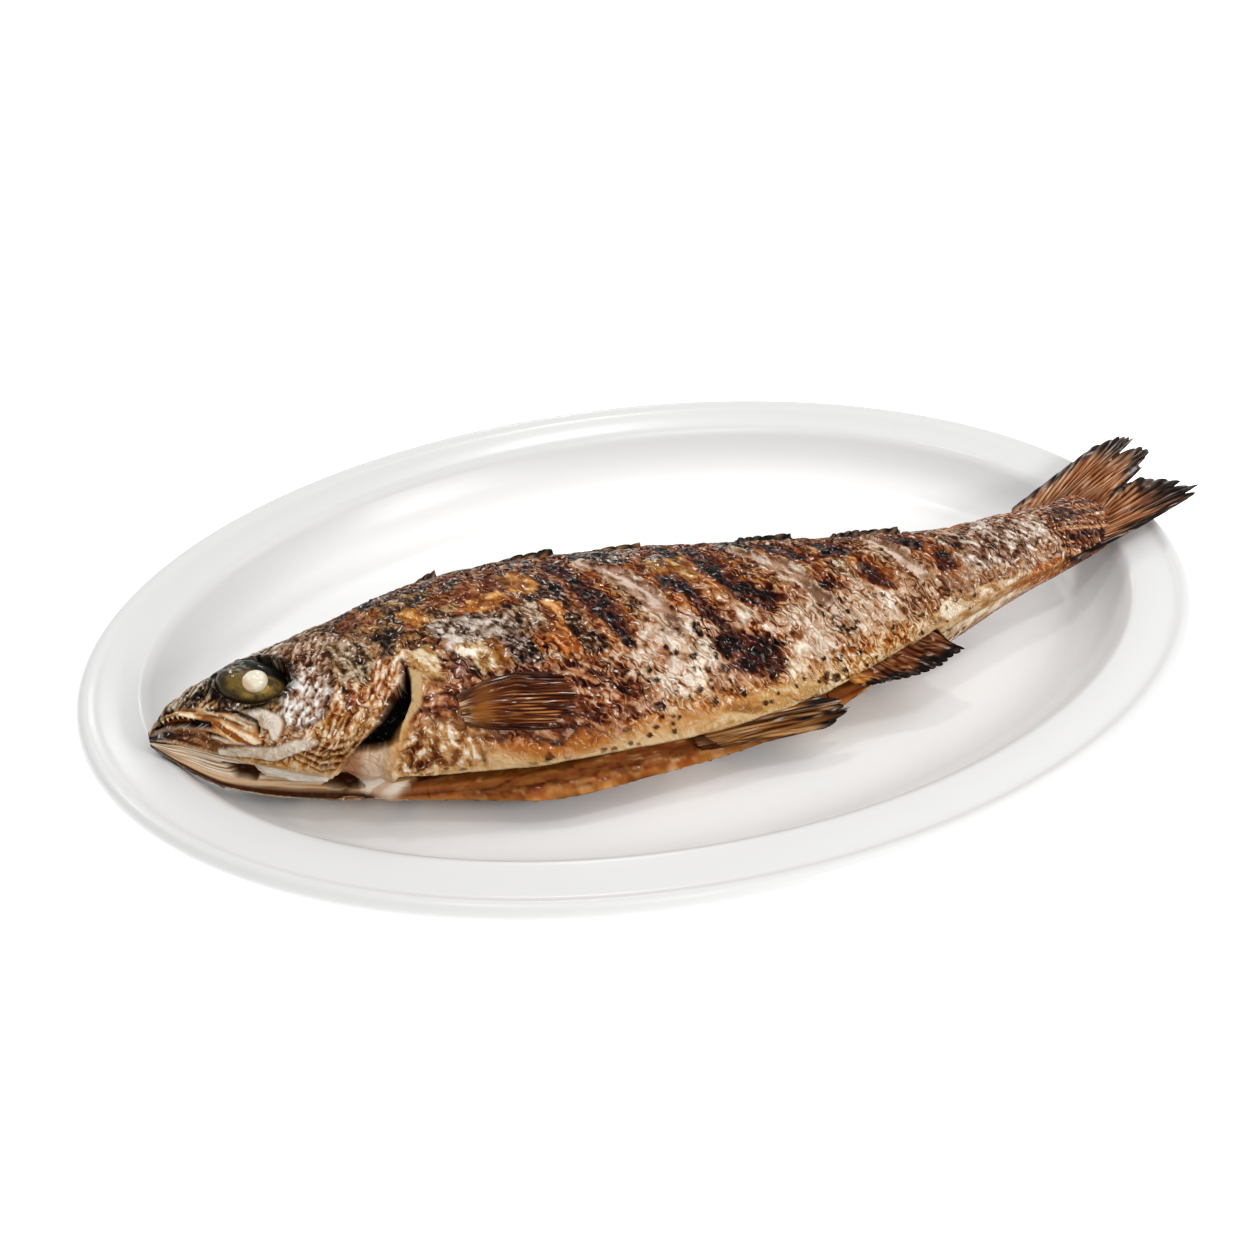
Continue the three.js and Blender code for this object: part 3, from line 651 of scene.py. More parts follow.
# Stretches of skin that browned each in its own way: their outline on the skin, how ragged it is, how
# their streaks run (angle, length, width), their dark, middle and light tones, and how wrinkled they are.
GOLD = [(132, 78, 24), (182, 124, 54), (220, 172, 100)]
FLANK_ZONES = [
    ([(-92, 0.26), (-62, 0.27), (-30, 0.27), (0, 0.26), (30, 0.27), (62, 0.28), (60, 0.36), (36, 0.37),
      (14, 0.36), (-6, 0.39), (-30, 0.36), (-52, 0.35), (-70, 0.37), (-90, 0.34)], 2.5, (20, 3, 0.8),
     [(20, 13, 9), (64, 48, 38), (158, 140, 130)], 0.9),
    ([(-95, 0.32), (-70, 0.35), (-66, 0.44), (-71, 0.55), (-84, 0.57), (-95, 0.46)], 3, (62, 3, 1.4),
     [(54, 34, 17), (106, 74, 42), (168, 136, 92)], 0.7),
    ([(-63, 0.43), (-56, 0.41), (-51, 0.45), (-55, 0.5), (-62, 0.49)], 2, (40, 4, 2.5), GOLD, 0.3),
    ([(-54, 0.36), (-45, 0.36), (-40, 0.43), (-45, 0.48), (-50, 0.44)], 2, (60, 5, 2.5),
     [(100, 62, 26), (152, 104, 50), (196, 146, 84)], 0.35),
    ([(-83, 0.43), (-77, 0.42), (-75, 0.49), (-80, 0.51)], 2, (60, 3, 2), GOLD, 0.3),
    ([(-76, 0.5), (-64, 0.5), (-52, 0.52), (-50, 0.58), (-60, 0.61), (-72, 0.61)], 2.5, (50, 2.4, 1.2),
     [(76, 56, 48), (148, 130, 118), (210, 198, 188)], 0.8),
    ([(-70, 0.6), (-60, 0.6), (-58, 0.69), (-66, 0.7)], 2, (55, 4, 1.4),
     [(150, 110, 62), (212, 186, 144), (244, 234, 216)], 0.6),
    ([(-84, 0.6), (-77, 0.57), (-74, 0.7), (-82, 0.78)], 2, (62, 6, 1.6),
     [(120, 80, 36), (184, 148, 100), (224, 202, 164)], 0.4),
    ([(-74, 0.66), (-67, 0.64), (-64, 0.71), (-72, 0.73)], 1.5, (20, 2.4, 0.9),
     [(30, 12, 7), (74, 33, 20), (146, 100, 88)], 0.9),
    ([(-58, 0.6), (-51, 0.59), (-46, 0.69), (-54, 0.7)], 1.5, (-25, 2.6, 0.8),
     [(22, 13, 11), (60, 40, 33), (146, 124, 118)], 0.9),
    ([(-62, 0.6), (-58.5, 0.59), (-55, 0.69), (-58, 0.7)], 1, (62, 6, 2),
     [(92, 50, 12), (148, 94, 36), (194, 148, 80)], 0.3),
    ([(-54, 0.49), (-42, 0.48), (-40, 0.58), (-50, 0.6)], 2, (50, 1.6, 1.1),
     [(58, 38, 27), (118, 90, 68), (184, 160, 138)], 0.9),
    ([(-43, 0.5), (-37, 0.5), (-35, 0.68), (-41, 0.69)], 1.5, (65, 6, 1.5),
     [(98, 46, 10), (164, 96, 36), (216, 160, 94)], 0.5),
    ([(-39, 0.43), (-30, 0.42), (-29, 0.5), (-38, 0.51)], 1.5, (30, 2.2, 0.8),
     [(17, 11, 9), (52, 34, 29), (168, 150, 146)], 0.9),
    ([(-38, 0.56), (-31, 0.55), (-27, 0.68), (-35, 0.69)], 1.5, (-30, 3, 0.9),
     [(26, 14, 9), (72, 43, 27), (156, 124, 100)], 0.9),
    ([(-22, 0.43), (-16, 0.46), (-12, 0.58), (-18, 0.6)], 1.5, (55, 1.6, 1.0),
     [(58, 35, 19), (114, 80, 52), (176, 146, 114)], 0.8),
    ([(-9, 0.39), (4, 0.38), (6, 0.5), (-3, 0.48)], 2, (62, 5, 2.2),
     [(84, 56, 22), (160, 118, 62), (216, 182, 124)], 0.4),
    ([(3, 0.42), (8, 0.42), (13, 0.56), (8, 0.54)], 1, (62, 5, 2),
     [(104, 54, 14), (168, 100, 38), (208, 148, 82)], 0.3),
    ([(16, 0.4), (22, 0.42), (28, 0.56), (22, 0.58)], 1.5, (60, 1.8, 1.0),
     [(56, 32, 16), (114, 74, 42), (178, 138, 98)], 0.8),
    ([(32, 0.4), (40, 0.4), (46, 0.54), (42, 0.56)], 1.5, (62, 4, 1.6),
     [(66, 34, 14), (134, 84, 44), (190, 146, 100)], 0.7),
    ([(46, 0.46), (52, 0.46), (58, 0.6), (50, 0.62)], 1.5, (62, 2.2, 0.9),
     [(88, 58, 36), (148, 120, 92), (216, 198, 174)], 0.7),
    ([(58, 0.4), (68, 0.4), (72, 0.54), (64, 0.56)], 1.5, (62, 3, 1.2),
     [(70, 46, 32), (124, 98, 78), (184, 160, 138)], 0.7),
    ([(43, 0.38), (47, 0.37), (48.5, 0.43), (44, 0.45)], 0.8, (60, 4, 2), GOLD, 0.2),
    ([(52, 0.47), (55, 0.47), (56, 0.54), (52, 0.54)], 0.8, (60, 4, 2), GOLD, 0.2),
    ([(79, 0.52), (82, 0.52), (83, 0.58), (79, 0.58)], 0.8, (60, 4, 2), GOLD, 0.2),
    ([(80, 0.36), (100, 0.34), (113, 0.4), (108, 0.56), (96, 0.6), (82, 0.58)], 3, (40, 2.6, 1.2),
     [(44, 26, 16), (98, 72, 56), (178, 158, 144)], 0.8),
    ([(88, 0.29), (95, 0.28), (98, 0.34), (91, 0.38)], 1, (20, 4, 2), GOLD, 0.2),
    ([(72, 0.93), (86, 0.86), (104, 0.92), (120, 0.96), (120, 1.0), (72, 1.0)], 2, (10, 6, 2.5),
     [(150, 106, 62), (208, 176, 136), (232, 214, 186)], 0.25),
    ([(112, 0.97), (122, 0.92), (138, 0.95), (138, 1.0), (112, 1.0)], 1.5, (10, 5, 1.4),
     [(92, 46, 15), (168, 100, 42), (214, 156, 88)], 0.5),
    ([(-81, 0.74), (-72, 0.72), (-69, 0.78), (-71, 0.85), (-78, 0.83)], 1, (100, 5, 0.7),
     [(84, 44, 28), (150, 104, 76), (210, 176, 150)], 0.4),
    ([(2, 0.92), (26, 0.91), (36, 0.96), (36, 1.0), (-4, 1.0)], 1, (5, 8, 2),
     [(130, 84, 36), (188, 146, 90), (216, 184, 136)], 0.15),
    ([(98, 0.4), (116, 0.34), (127, 0.4), (127, 0.62), (114, 0.84), (98, 0.82), (90, 0.62)], 4,
     (35, 2.6, 1.1), [(84, 52, 35), (152, 124, 106), (212, 199, 189)], 0.85),
]

# How wrinkled, how dotted with painted glints and how glossy with oil each place is, from 0 to 1.
# Wrinkles are painted darker in their troughs and lighter on their crests, as painted shade and light.
wrinkled = on_side * (1 - 0.8 * belly) * (1 - 0.35 * tail) * (1 - 0.4 * ease(-84, -92, X))
wrinkled = wrinkled * (0.55 + 0.9 * blots(0.35, 0.65, 11, 7, 2))
painted_glints = 0.7 * on_side * (1 - 0.6 * belly)
gloss = 0.75 + 0.15 * ease(0.93, 1.0, ARC)

# The flank over the belly stayed silvery. Behind the slit it browned.
rear = (0.3 + 0.7 * ease(58, 70, X)) * ease(0, 24, X) * on_side
rear = rear * ease(0.48, 0.58, ARC) * ease(0.93, 0.84, wavy_arc)
stain(0.8 * rear * blots(0.38, 0.56, (7, 4, 4), 251), (118, 74, 42))
stain(0.35 * rear, (156, 116, 84))
silvery = ease(-27, -17, X) * ease(70, 56, X) * (0.55 + 0.45 * ease(36, 10, X)) * on_side
silvery = silvery * ease(0.58, 0.66, wavy_arc) * ease(0.88, 0.82, wavy_arc)
stain(0.5 * silvery * blots(0.36, 0.56, 3.5, 252), (236, 222, 206))
stain(0.12 * silvery, (228, 210, 190))

smooth_zones = np.zeros(len(X))
for number, (places, ragged, (angle, length, width), tones, wrinkling) in enumerate(FLANK_ZONES):
    zone = patch(places, 0.8, ragged, 3.5, 200 + number)
    streaks = hatch(zone, angle, length, width, 240 + number)
    dapple(0.82 * zone, streaks, *tones)
    wrinkled = wrinkled + (wrinkling - wrinkled) * zone
    smooth_zones = np.maximum(smooth_zones, zone * (1 - wrinkling))
wrinkle_relief = 0.2 * strand + 0.4 * (flake_tone - 0.5) - 0.3 * crevice + 0.15 * grit
relief = on_side * wrinkle_relief * (1 - 0.85 * belly) * (1 - 0.55 * tail) * (1 - 0.8 * smooth_zones)
relief += 0.7 * mottle
relief += tail * (0.14 * scale_tone - 0.18 * scale_rim)

# Behind the belly slit the two flanks meet in a smooth pale edge, browned towards the tail.
edge_band = ease(0.975, 0.995, ARC) * ease(54, 66, X)
edge_streaks = noise(POINTS / (7, 2, 2), 48, 2)
stain(edge_band, (206, 172, 128))
stain(0.6 * edge_band * ease(0.45, 0.6, edge_streaks), (150, 96, 48))
stain(0.8 * edge_band * ease(104, 116, X + 8 * wander), (162, 94, 36))
wrinkled *= 1 - 0.7 * edge_band
painted_glints *= 1 - 0.5 * edge_band

# At the tail's root the skin runs out over the fin's rays.
FAN_X, FAN_Y = 102.0, -23.0
fan_angle = np.arctan2(POINTS[:, 1] - FAN_Y, X - FAN_X)
fan_reach = np.hypot(POINTS[:, 1] - FAN_Y, X - FAN_X)
fan = ease(25, 33, fan_reach + 12 * wander) * ease(112, 120, X)
fan_ray = noise(np.column_stack([fan_angle * 44, fan_reach / 16, 9.0 * UNDER]), 45, 2)
stain(0.95 * fan, (116, 68, 38))
stain(0.75 * fan * ease(0.52, 0.66, fan_ray), (186, 138, 98))
stain(0.7 * fan * ease(0.46, 0.32, fan_ray), (66, 34, 18))
singe = patch([(130, 0.44), (138, 0.4), (144, 0.5), (141, 0.62), (132, 0.62)], 2.0, 2.5, 5, 46)
stain(0.6 * singe, (70, 40, 17))
relief = relief * (1 - 0.7 * fan) + 0.5 * fan * (fan_ray - 0.5)

# Cut edges and inside of the slit belly: a brown wall painted near-black deep inside as the shadow
# under the upper flap, then the glossy roll of the lower flap.
SLIT_TONES_AND_SHADOW = [(1.0, 214, 178, 122), (1.03, 168, 112, 56), (1.1, 76, 40, 12), (1.5, 50, 24, 7),
              (1.8, 86, 46, 14), (1.9, 110, 62, 20), (1.925, 138, 82, 30), (1.94, 166, 104, 58),
              (1.965, 148, 86, 52), (1.98, 112, 56, 30), (1.99, 158, 84, 36), (2.0, 184, 124, 68),
              (2.02, 196, 150, 96)]
slit_wall = (ARC > 1) & ~UNDER
slit_place = ROUND + np.where(slit_wall, 0.018 * (noise(POINTS / 9, 21, 3) - 0.5), 0)
slit_colour_and_shadow = blend(slit_place, [stop[0] for stop in SLIT_TONES_AND_SHADOW], [shade(*stop[1:]) for stop in SLIT_TONES_AND_SHADOW])
# Deep inside the slit the wall is painted near-black brown: painted shadow under the upper flap.
colour = paint(colour, slit_wall * ease(66, 54, X + 8 * wander), slit_colour_and_shadow)
slit_run = ease(-84, -76, X) * ease(48, 30, X)
roll = ease(1.9, 1.94, ROUND) * ease(2.0, 1.98, ROUND) * slit_run
stain(0.5 * roll * blots(0.5, 0.62, (5, 2, 2), 22), (186, 126, 76))
stain(0.5 * roll * blots(0.45, 0.34, (6, 2, 2), 23), (92, 44, 22))
relief += 1.3 * roll + roll * 0.5 * (noise(POINTS / 2.2, 24, 2) - 0.5)
flap_edge = ease(1.975, 1.99, ROUND) * ease(2.12, 2.04, ROUND) * slit_run
stain(0.5 * flap_edge * blots(0.46, 0.6, (3.5, 2, 2), 25), (92, 42, 18))
stain(0.5 * flap_edge * blots(0.44, 0.34, (3.5, 2, 2), 26), (218, 168, 112))
lower_flap = np.maximum(roll, flap_edge)
across_slit = POINTS[:, 2] - POINTS[:, 1]
fat = hatch(lower_flap, 0, 7, 0.9, 27, np.column_stack([X, across_slit]))
stain(0.75 * lower_flap * ease(0.55, 0.75, fat), (74, 30, 10))
stain(0.7 * lower_flap * ease(0.3, 0.18, fat), (224, 178, 130))
wrinkled *= 1 - 0.8 * roll
painted_glints *= 1 - 0.9 * lower_flap
gloss = np.maximum(gloss, roll)

# Where the grill bars lay: black crust in a sunken furrow, red-brown round it.
BARS = [
    ([(-35, 0.33), (-31, 0.42), (-27.5, 0.5), (-24, 0.58), (-21.5, 0.66)], 8, 1.3),
    ([(-4, 0.47), (0, 0.54), (4, 0.62), (7, 0.68), (10, 0.74)], 5.5, 0.5),
    ([(7, 0.32), (10, 0.44), (14, 0.53), (18, 0.57), (23, 0.62)], 8.5, 1.4),
    ([(30, 0.35), (36, 0.4), (41, 0.48)], 6.5, 0.7),
    ([(46, 0.38), (50, 0.42), (54, 0.46)], 8, 1.2),
    ([(55, 0.55), (58, 0.6), (61, 0.65)], 6, 0.5),
    ([(71, 0.38), (75, 0.45), (79, 0.51)], 9, 1.3),
    ([(82, 0.59), (86, 0.66)], 7.5, 0.9),
    ([(41, 0.56), (45, 0.62)], 5, 0.2),
    ([(6, 0.7), (9, 0.74), (12, 0.78)], 9, 0.25),
    ([(14, 0.74), (16, 0.78), (18, 0.84)], 8, 1.2),
    ([(8, 0.77), (10, 0.8), (12, 0.83)], 6, 1.0),
    ([(-66, 0.875), (-50, 0.885), (-38, 0.89), (-29, 0.875)], 8, 0.3),
    ([(-46, 0.75), (-36, 0.79), (-24, 0.85)], 14, 0.15),
]
soot = noise(POINTS / (5, 7, 7), 5, 3) - 0.47 + 0.12 * ease(0.45, 0.15, ARC)
heat = 1.5 * ease(-0.04, 0.14, soot) * ease(0.62, 0.4, ARC) - 2.0
for places, width, hottest in BARS:
    distance, along = reach(places)
    from_edge = width / 2 * (1 - 0.45 * (2 * along - 1) ** 2) - distance
    heat = np.maximum(heat, np.minimum(from_edge / 3, hottest))
torn = 2.3 * (noise(POINTS / 4.5, 12, 3) - 0.5)
heat += torn + 0.8 * (noise(np.column_stack([grain / (5, 1.6), UNDER]), 13) - 0.5)
heat = np.where(on_side > 0, heat, -9)
CHAR_TONES = [(-1.3, -0.5, 0.4, (178, 112, 52)), (-0.8, -0.1, 0.75, (112, 56, 22)),
              (-0.2, 0.3, 0.9, (64, 22, 7)), (0.15, 0.6, 0.97, (12, 3, 1))]
for low, high, share, tone in CHAR_TONES:
    stain(share * ease(low, high, heat) * (1 - 0.4 * bright * (heat < 0)), tone)
char = ease(-0.1, 0.4, heat)
relief -= 0.8 * ease(-0.8, 0.2, heat)
relief += char * (noise(POINTS / 1.8, 42, 2) - 0.4)
stain(0.6 * char * blots(0.52, 0.62, 2.8, 14, 2), (92, 34, 12))
# Grey patches on the char are painted glints on its glassy crust.
stain(0.35 * char * blots(0.62, 0.7, 2.0, 15, 2), (150, 122, 112))
gloss = np.maximum(gloss, 0.95 * char)
wrinkled *= 1 - 0.6 * char
painted_glints *= 1 - 0.5 * char

# Under the folded fin the skin stayed moist, wrinkled and dark brown.
FIN_BED = [(-76, 0.76), (-66, 0.78), (-54, 0.79), (-42, 0.8), (-32, 0.82)]
fin_bed = brush(FIN_BED, 26, soft=5.0, ragged=5.0, grain=4.0, seed=181, taper=0.25) * on_side
fin_bed *= ease(0.66, 0.72, ARC + 0.06 * wander)
dapple(0.8 * fin_bed, hatch(fin_bed, 35, 4, 1.2, 182), (60, 25, 12), (126, 70, 40), (196, 150, 116))

# Skin that split and drew back from the flesh.
TEARS = [
    ([(-26, 0.35), (-18, 0.43), (-13, 0.51), (-10, 0.58), (-7, 0.66)], 6.5, 51),
    ([(20, 0.37), (27, 0.45), (31, 0.5), (36, 0.58), (40, 0.67)], 6, 52),
    ([(63, 0.37), (66, 0.45), (70, 0.56), (74, 0.68)], 5, 53),
]
for places, width, seed in TEARS:
    open_flesh = brush(places, width, 0.4, ragged=2.2, grain=4, seed=seed, taper=0.6)
    lip = brush(places, width + 1.8, 0.5, ragged=2.2, grain=4, seed=seed, taper=0.55)
    rolled = (lip - open_flesh).clip(0)
    stain(0.8 * rolled, (112, 62, 28))
    stain(0.9 * rolled * blots(0.45, 0.6, 3.5, seed + 9, 2), (230, 206, 176))
    streaks = hatch(open_flesh, 62, 5, 1.6, seed + 8)
    dapple(0.92 * open_flesh, streaks, (118, 86, 66), (170, 138, 118), (208, 186, 172))
    relief += 0.6 * rolled - 0.9 * open_flesh
    wrinkled *= 1 - 0.85 * open_flesh
    painted_glints *= 1 - 0.5 * open_flesh
    char = char * (1 - open_flesh)

# The belly skin is thin, pale and translucent, amber in places, and blistered where it meets the flank.
BLISTERED = [(-72, 0.86), (-58, 0.885), (-42, 0.915), (-25, 0.915), (-8, 0.895), (4, 0.87)]
BELLY_FOLD = [(-90, 0.93), (-70, 0.93), (-50, 0.93), (-20, 0.92), (8, 0.91)]
orange = brush([(-64, 0.92), (-50, 0.95), (-36, 0.95)], 8, 3.0, 3.0, 5.0, 64, taper=0.6)
orange = np.maximum(orange, 0.55 * brush(BELLY_FOLD, 4, 2.0, 3.0, 4.0, 65))
stain(0.8 * orange * (1 - char), (168, 98, 32))
veins = ease(0.1, 0.02, np.abs(noise(POINTS / (5, 3, 3), 68, 3) - 0.5)) * belly
stain(0.35 * veins, (166, 118, 62))
blister = blots(0.62, 0.7, 2.6, 66, 2) * brush(BLISTERED, 9, 1.5, 2.5, 3.0, 67, taper=0.3)
stain(0.6 * blister, (206, 164, 142))

# Pepper and burnt crumbs stick to the lower flank and the belly.
scattered = blots(0.36, 0.56, 9, 190, 2) * ease(0.58, 0.74, ARC + 0.3 * wander) * ease(105, 80, X)
CRUMB_SIZES = [(2.6, 191, 0.34), (3.3, 194, 0.26), (5.2, 197, 0.16)]
for size, seed, share in CRUMB_SIZES:
    place = np.column_stack([FLAT / size + 40, 50.0 * UNDER])
    cell = np.floor(place).astype(np.int64)
    middle = 0.3 + 0.4 * np.stack([hashed(cell, seed), hashed(cell, seed + 1)], -1)
    radius = 0.13 + 0.13 * hashed(cell, seed + 2)
    off_middle = np.linalg.norm(place[:, :2] - cell[:, :2] - middle, axis=1) + 0.16 * (grit - 0.5)
    crumb = ease(radius + 0.05, radius - 0.02, off_middle) * (hashed(cell, seed + 3) < share * scattered)
    crumb = crumb * on_side * ease(-100, -80, X) * ease(1.0, 0.99, ARC) * (1 - fin_bed)
    stain(0.9 * crumb, (52, 25, 11))
    relief += 0.4 * crumb
    gloss *= 1 - 0.6 * crumb

# The head, from the snout back: skull, cheek, jaws, gill cover, and the flesh behind the gills.
skull = ease(-108, -118, X - 22 * (ARC - 0.4)) * ease(0.74, 0.55, ARC + 0.1 * wander)
face = ease(-98, -106, X) * ease(0.74, 0.6, ARC)
# Each zone's mask, how its streaks run, its three tones, whose light streaks partly stand for painted
# glints, and 1 where it has painted glints and where it is wrinkled.
HEAD_ZONES = [
    (face * (1 - skull), (15, 4.0, 1.0), (44, 28, 18), (92, 66, 44), (160, 136, 112), 0, 0),
    (skull, (-25, 5.0, 1.2), (60, 45, 35), (134, 110, 86), (196, 180, 164), 0, 0),
    (patch([(-117, 0.36), (-103, 0.38), (-99, 0.5), (-104, 0.62), (-112, 0.6), (-120, 0.58)], 2.0, 2.0),
     (-62, 2.2, 0.75), (72, 42, 22), (128, 88, 58), (190, 166, 146), 1, 1),
    (patch([(-104, 0.48), (-92, 0.5), (-84, 0.58), (-84, 0.66), (-92, 0.79), (-106, 0.96), (-112, 0.97),
            (-118, 0.86), (-108, 0.76), (-104, 0.64)], 1.0, 0.8),
     (-50, 1.9, 1.1), (138, 78, 34), (198, 150, 102), (232, 210, 184), 1, 1),
    (patch([(-105, 0.46), (-94, 0.5), (-92, 0.58), (-96, 0.66), (-103, 0.62)], 1.6, 1.6),
     (70, 2.6, 1.1), (62, 40, 26), (128, 102, 76), (184, 168, 146), 0, 1),
    (patch([(-95, 0.46), (-85, 0.48), (-82, 0.56), (-90, 0.6)], 1.6, 2.4),
     (20, 2.2, 1.4), (26, 16, 11), (64, 42, 26), (140, 96, 56), 0, 1),
    (patch([(-103, 0.65), (-100, 0.66), (-99, 0.75), (-102.5, 0.75)], 1.0, 1.0),
     (-80, 3, 1), (60, 26, 12), (96, 46, 22), (150, 84, 46), 0, 1),
    (patch([(-109, 0.77), (-98, 0.74), (-95, 0.8), (-107, 0.95), (-118, 0.9)], 1.4, 1.2),
     (-42, 3.4, 0.85), (124, 74, 28), (176, 128, 74), (220, 192, 156), 1, 1),
    (patch([(-122, 0.62), (-116, 0.54), (-108, 0.56), (-105.5, 0.66), (-108.5, 0.74), (-113, 0.79),
            (-118, 0.8), (-121, 0.74)], 1.0, 1.2, 3),
     (-50, 1.3, 0.9), (124, 80, 52), (190, 168, 152), (232, 229, 226), 1, 1),
    (brush([(-141, 0.625), (-131, 0.66), (-121, 0.7)], 4.0, 1.0, 0.6, 3),
     (12, 4.0, 0.8), (60, 40, 26), (128, 96, 66), (198, 168, 132), 0, 1),
]
for number, (mask, (angle, length, width), *tones, has_glints, creased) in enumerate(HEAD_ZONES):
    streaks = hatch(mask, angle, length, width, 130 + number)
    dapple(mask, streaks, *tones)
    painted_glints = painted_glints + (0.8 - painted_glints) * mask * has_glints
    wrinkled = wrinkled + (0.65 - wrinkled) * mask * creased
    relief = relief * (1 - 0.6 * mask) + 1.1 * mask * (streaks - 0.5)
rim_shadow = brush([(-85, 0.62), (-86, 0.69), (-89.8, 0.725), (-94, 0.785)], 2.4, 0.8, 0.5, 2)
stain(0.8 * rim_shadow, (78, 42, 30))
GILL_RAYS = [
    [(-119, 0.875), (-112, 0.915), (-106, 0.9), (-100.5, 0.84)],
    [(-119.5, 0.9), (-112, 0.945), (-105.5, 0.925), (-101.5, 0.87)],
    [(-120, 0.925), (-112.5, 0.975), (-106, 0.95)],
    [(-114, 0.86), (-108.5, 0.885), (-103, 0.86), (-98.5, 0.81)],
]
for places in GILL_RAYS:
    ray = brush(places, 0.9, 0.4, 0.15, 2, taper=0.5)
    groove = (brush(places, 2.6, 0.5, 0.2, 2, taper=0.5) - ray).clip(0)
    stain(0.7 * ray, (206, 168, 118))
    stain(0.7 * groove, (116, 64, 20))
    relief += 0.6 * ray - 0.3 * groove

# The jaws: smooth thin bones under tight translucent skin.
upper_lip = brush([(-147, 0.69), (-142, 0.745), (-138, 0.785), (-133, 0.845), (-128.5, 0.865)],
                  3.6, 0.5, 0.2, 3, taper=0.3)
JAW_ZONES = [
    (patch([(-157, 0.72), (-150, 0.78), (-139, 0.8), (-131, 0.87), (-124, 0.9), (-137.5, 0.99), (-146, 1.0),
            (-155, 0.94)], 0.6, 0.2),
     (8, 6, 1.0), (60, 28, 11), (104, 62, 30), (156, 112, 72)),
    (ease(-148, -154, X) * ease(0.7, 0.76, ARC) * ease(1.05, 0.98, ARC),
     (60, 3, 1), (30, 26, 27), (62, 54, 54), (130, 120, 116)),
    (patch([(-153, 0.6), (-147, 0.6), (-139, 0.66), (-127.5, 0.76), (-127, 0.86), (-131.5, 0.88),
            (-138.5, 0.8), (-145, 0.75), (-151, 0.72)], 0.5, 0.2),
     (28, 7, 0.9), (104, 64, 34), (182, 136, 92), (224, 196, 160)),
    (upper_lip, (32, 8, 0.8), (142, 84, 34), (206, 156, 96), (240, 214, 176)),
]
for number, (mask, (angle, length, width), *tones) in enumerate(JAW_ZONES):
    streaks = hatch(mask, angle, length, width, 150 + number, np.column_stack([X, 34 * ARC]))
    dapple(mask, streaks, *tones)
    relief = relief * (1 - 0.75 * mask) + 0.5 * mask * (streaks - 0.5)
    wrinkled *= 1 - 0.8 * mask
PALE_PLATES = [
    ([(-131, 0.725), (-126, 0.74), (-122.3, 0.78), (-123, 0.84)], 5.0, (206, 190, 176)),
    ([(-138, 0.965), (-131, 0.935), (-124, 0.93), (-118, 0.885), (-113, 0.865)], 4.2, (206, 190, 172)),
]
cloudy = noise(POINTS / 3, 159, 2)
for places, width, pale in PALE_PLATES:
    plate = brush(places, width, 0.5, 0.2, 3, taper=0.5)
    edge = (brush(places, width + 1.4, 0.5, 0.2, 3, taper=0.5) - plate).clip(0)
    stain(0.85 * plate, pale)
    stain(0.5 * plate * ease(0.5, 0.7, cloudy), (226, 214, 198))
    stain(0.5 * plate * ease(0.45, 0.3, cloudy), (168, 132, 98))
    stain(0.6 * edge, (104, 60, 30))
    relief = relief * (1 - 0.7 * plate) + 0.8 * plate - 0.3 * edge
    wrinkled *= 1 - 0.6 * plate
    painted_glints *= 1 - 0.5 * plate
HEAD_LINES = [
    ([(-140, 0.66), (-132.5, 0.7), (-127, 0.765), (-127, 0.82)], 1.2, (34, 22, 16), 0.9, -0.9),
    ([(-143, 0.69), (-136, 0.735), (-131, 0.79)], 0.8, (74, 42, 24), 0.7, -0.4),
    ([(-139.5, 0.855), (-136, 0.88), (-131.5, 0.89)], 1.3, (230, 206, 182), 0.7, 0.7),
    ([(-156, 0.72), (-151, 0.78), (-146, 0.79), (-139, 0.81)], 1.2, (150, 134, 124), 0.65, 0.6),
    ([(-155, 0.93), (-147, 0.99), (-138, 0.985)], 1.0, (206, 176, 146), 0.7, 0.4),
]
for places, width, tone, share, rise in HEAD_LINES:
    line = brush(places, width, 0.4, 0.2, 3, taper=0.4)
    stain(share * line, tone)
    relief += rise * line
mouth = brush([(-154.5, 0.6), (-150, 0.69), (-145.5, 0.755), (-140, 0.775)], 2.4, 0.5, 0.15, 3, taper=0.3)
# The mouth's slit is painted near-black: painted shade between the jaws.
stain(mouth, (34, 15, 8))
gum = brush([(-153, 0.64), (-149, 0.71), (-146, 0.745)], 1.0, 0.4, 0.2, 2, taper=0.3)
stain(0.8 * gum, (170, 92, 36))
relief += 0.9 * upper_lip - 2.6 * mouth
NOSTRILS = [[(-150.5, 0.54), (-149.6, 0.55)], [(-141.5, 0.53), (-140.6, 0.535)]]
for nostril in NOSTRILS:
    hole = brush(nostril, 1.3, 0.4)
    # Each nostril is painted black: painted shade in its pit.
    stain(hole, (8, 6, 6))
    relief -= 1.0 * hole

# The throat between the jaws: pale stripes of skin with openings painted dark as the shade inside them,
# then the tongue's root.
throat = ease(0.99, 1.04, ARC) * ease(-96, -100, X) * (ARC <= 2)
stripes = noise(np.column_stack([X / 14, ARC * 20 + 0.05 * X, UNDER]), 161, 3)
dapple(throat, stripes, (152, 110, 72), (206, 180, 150), (232, 216, 196))
stain(0.5 * throat * ease(1.6, 1.78, ARC + 0.2 * wander), (196, 160, 120))
stain(0.7 * throat * ease(1.62, 1.75, ARC) * ease(0.5, 0.62, stripes), (216, 176, 136))
stain(throat * ease(1.86, 1.96, ARC), (66, 34, 16))
relief += 0.9 * throat * (stripes - 0.5)
wrinkled *= 1 - throat
painted_glints *= 1 - throat
TONGUE = [(-129.5, 1.12), (-122, 1.04), (-113, 1.08), (-109.6, 1.3), (-111.5, 1.55), (-120, 1.62),
          (-127, 1.5)]
tongue = patch(TONGUE, 0.6, 0.3)
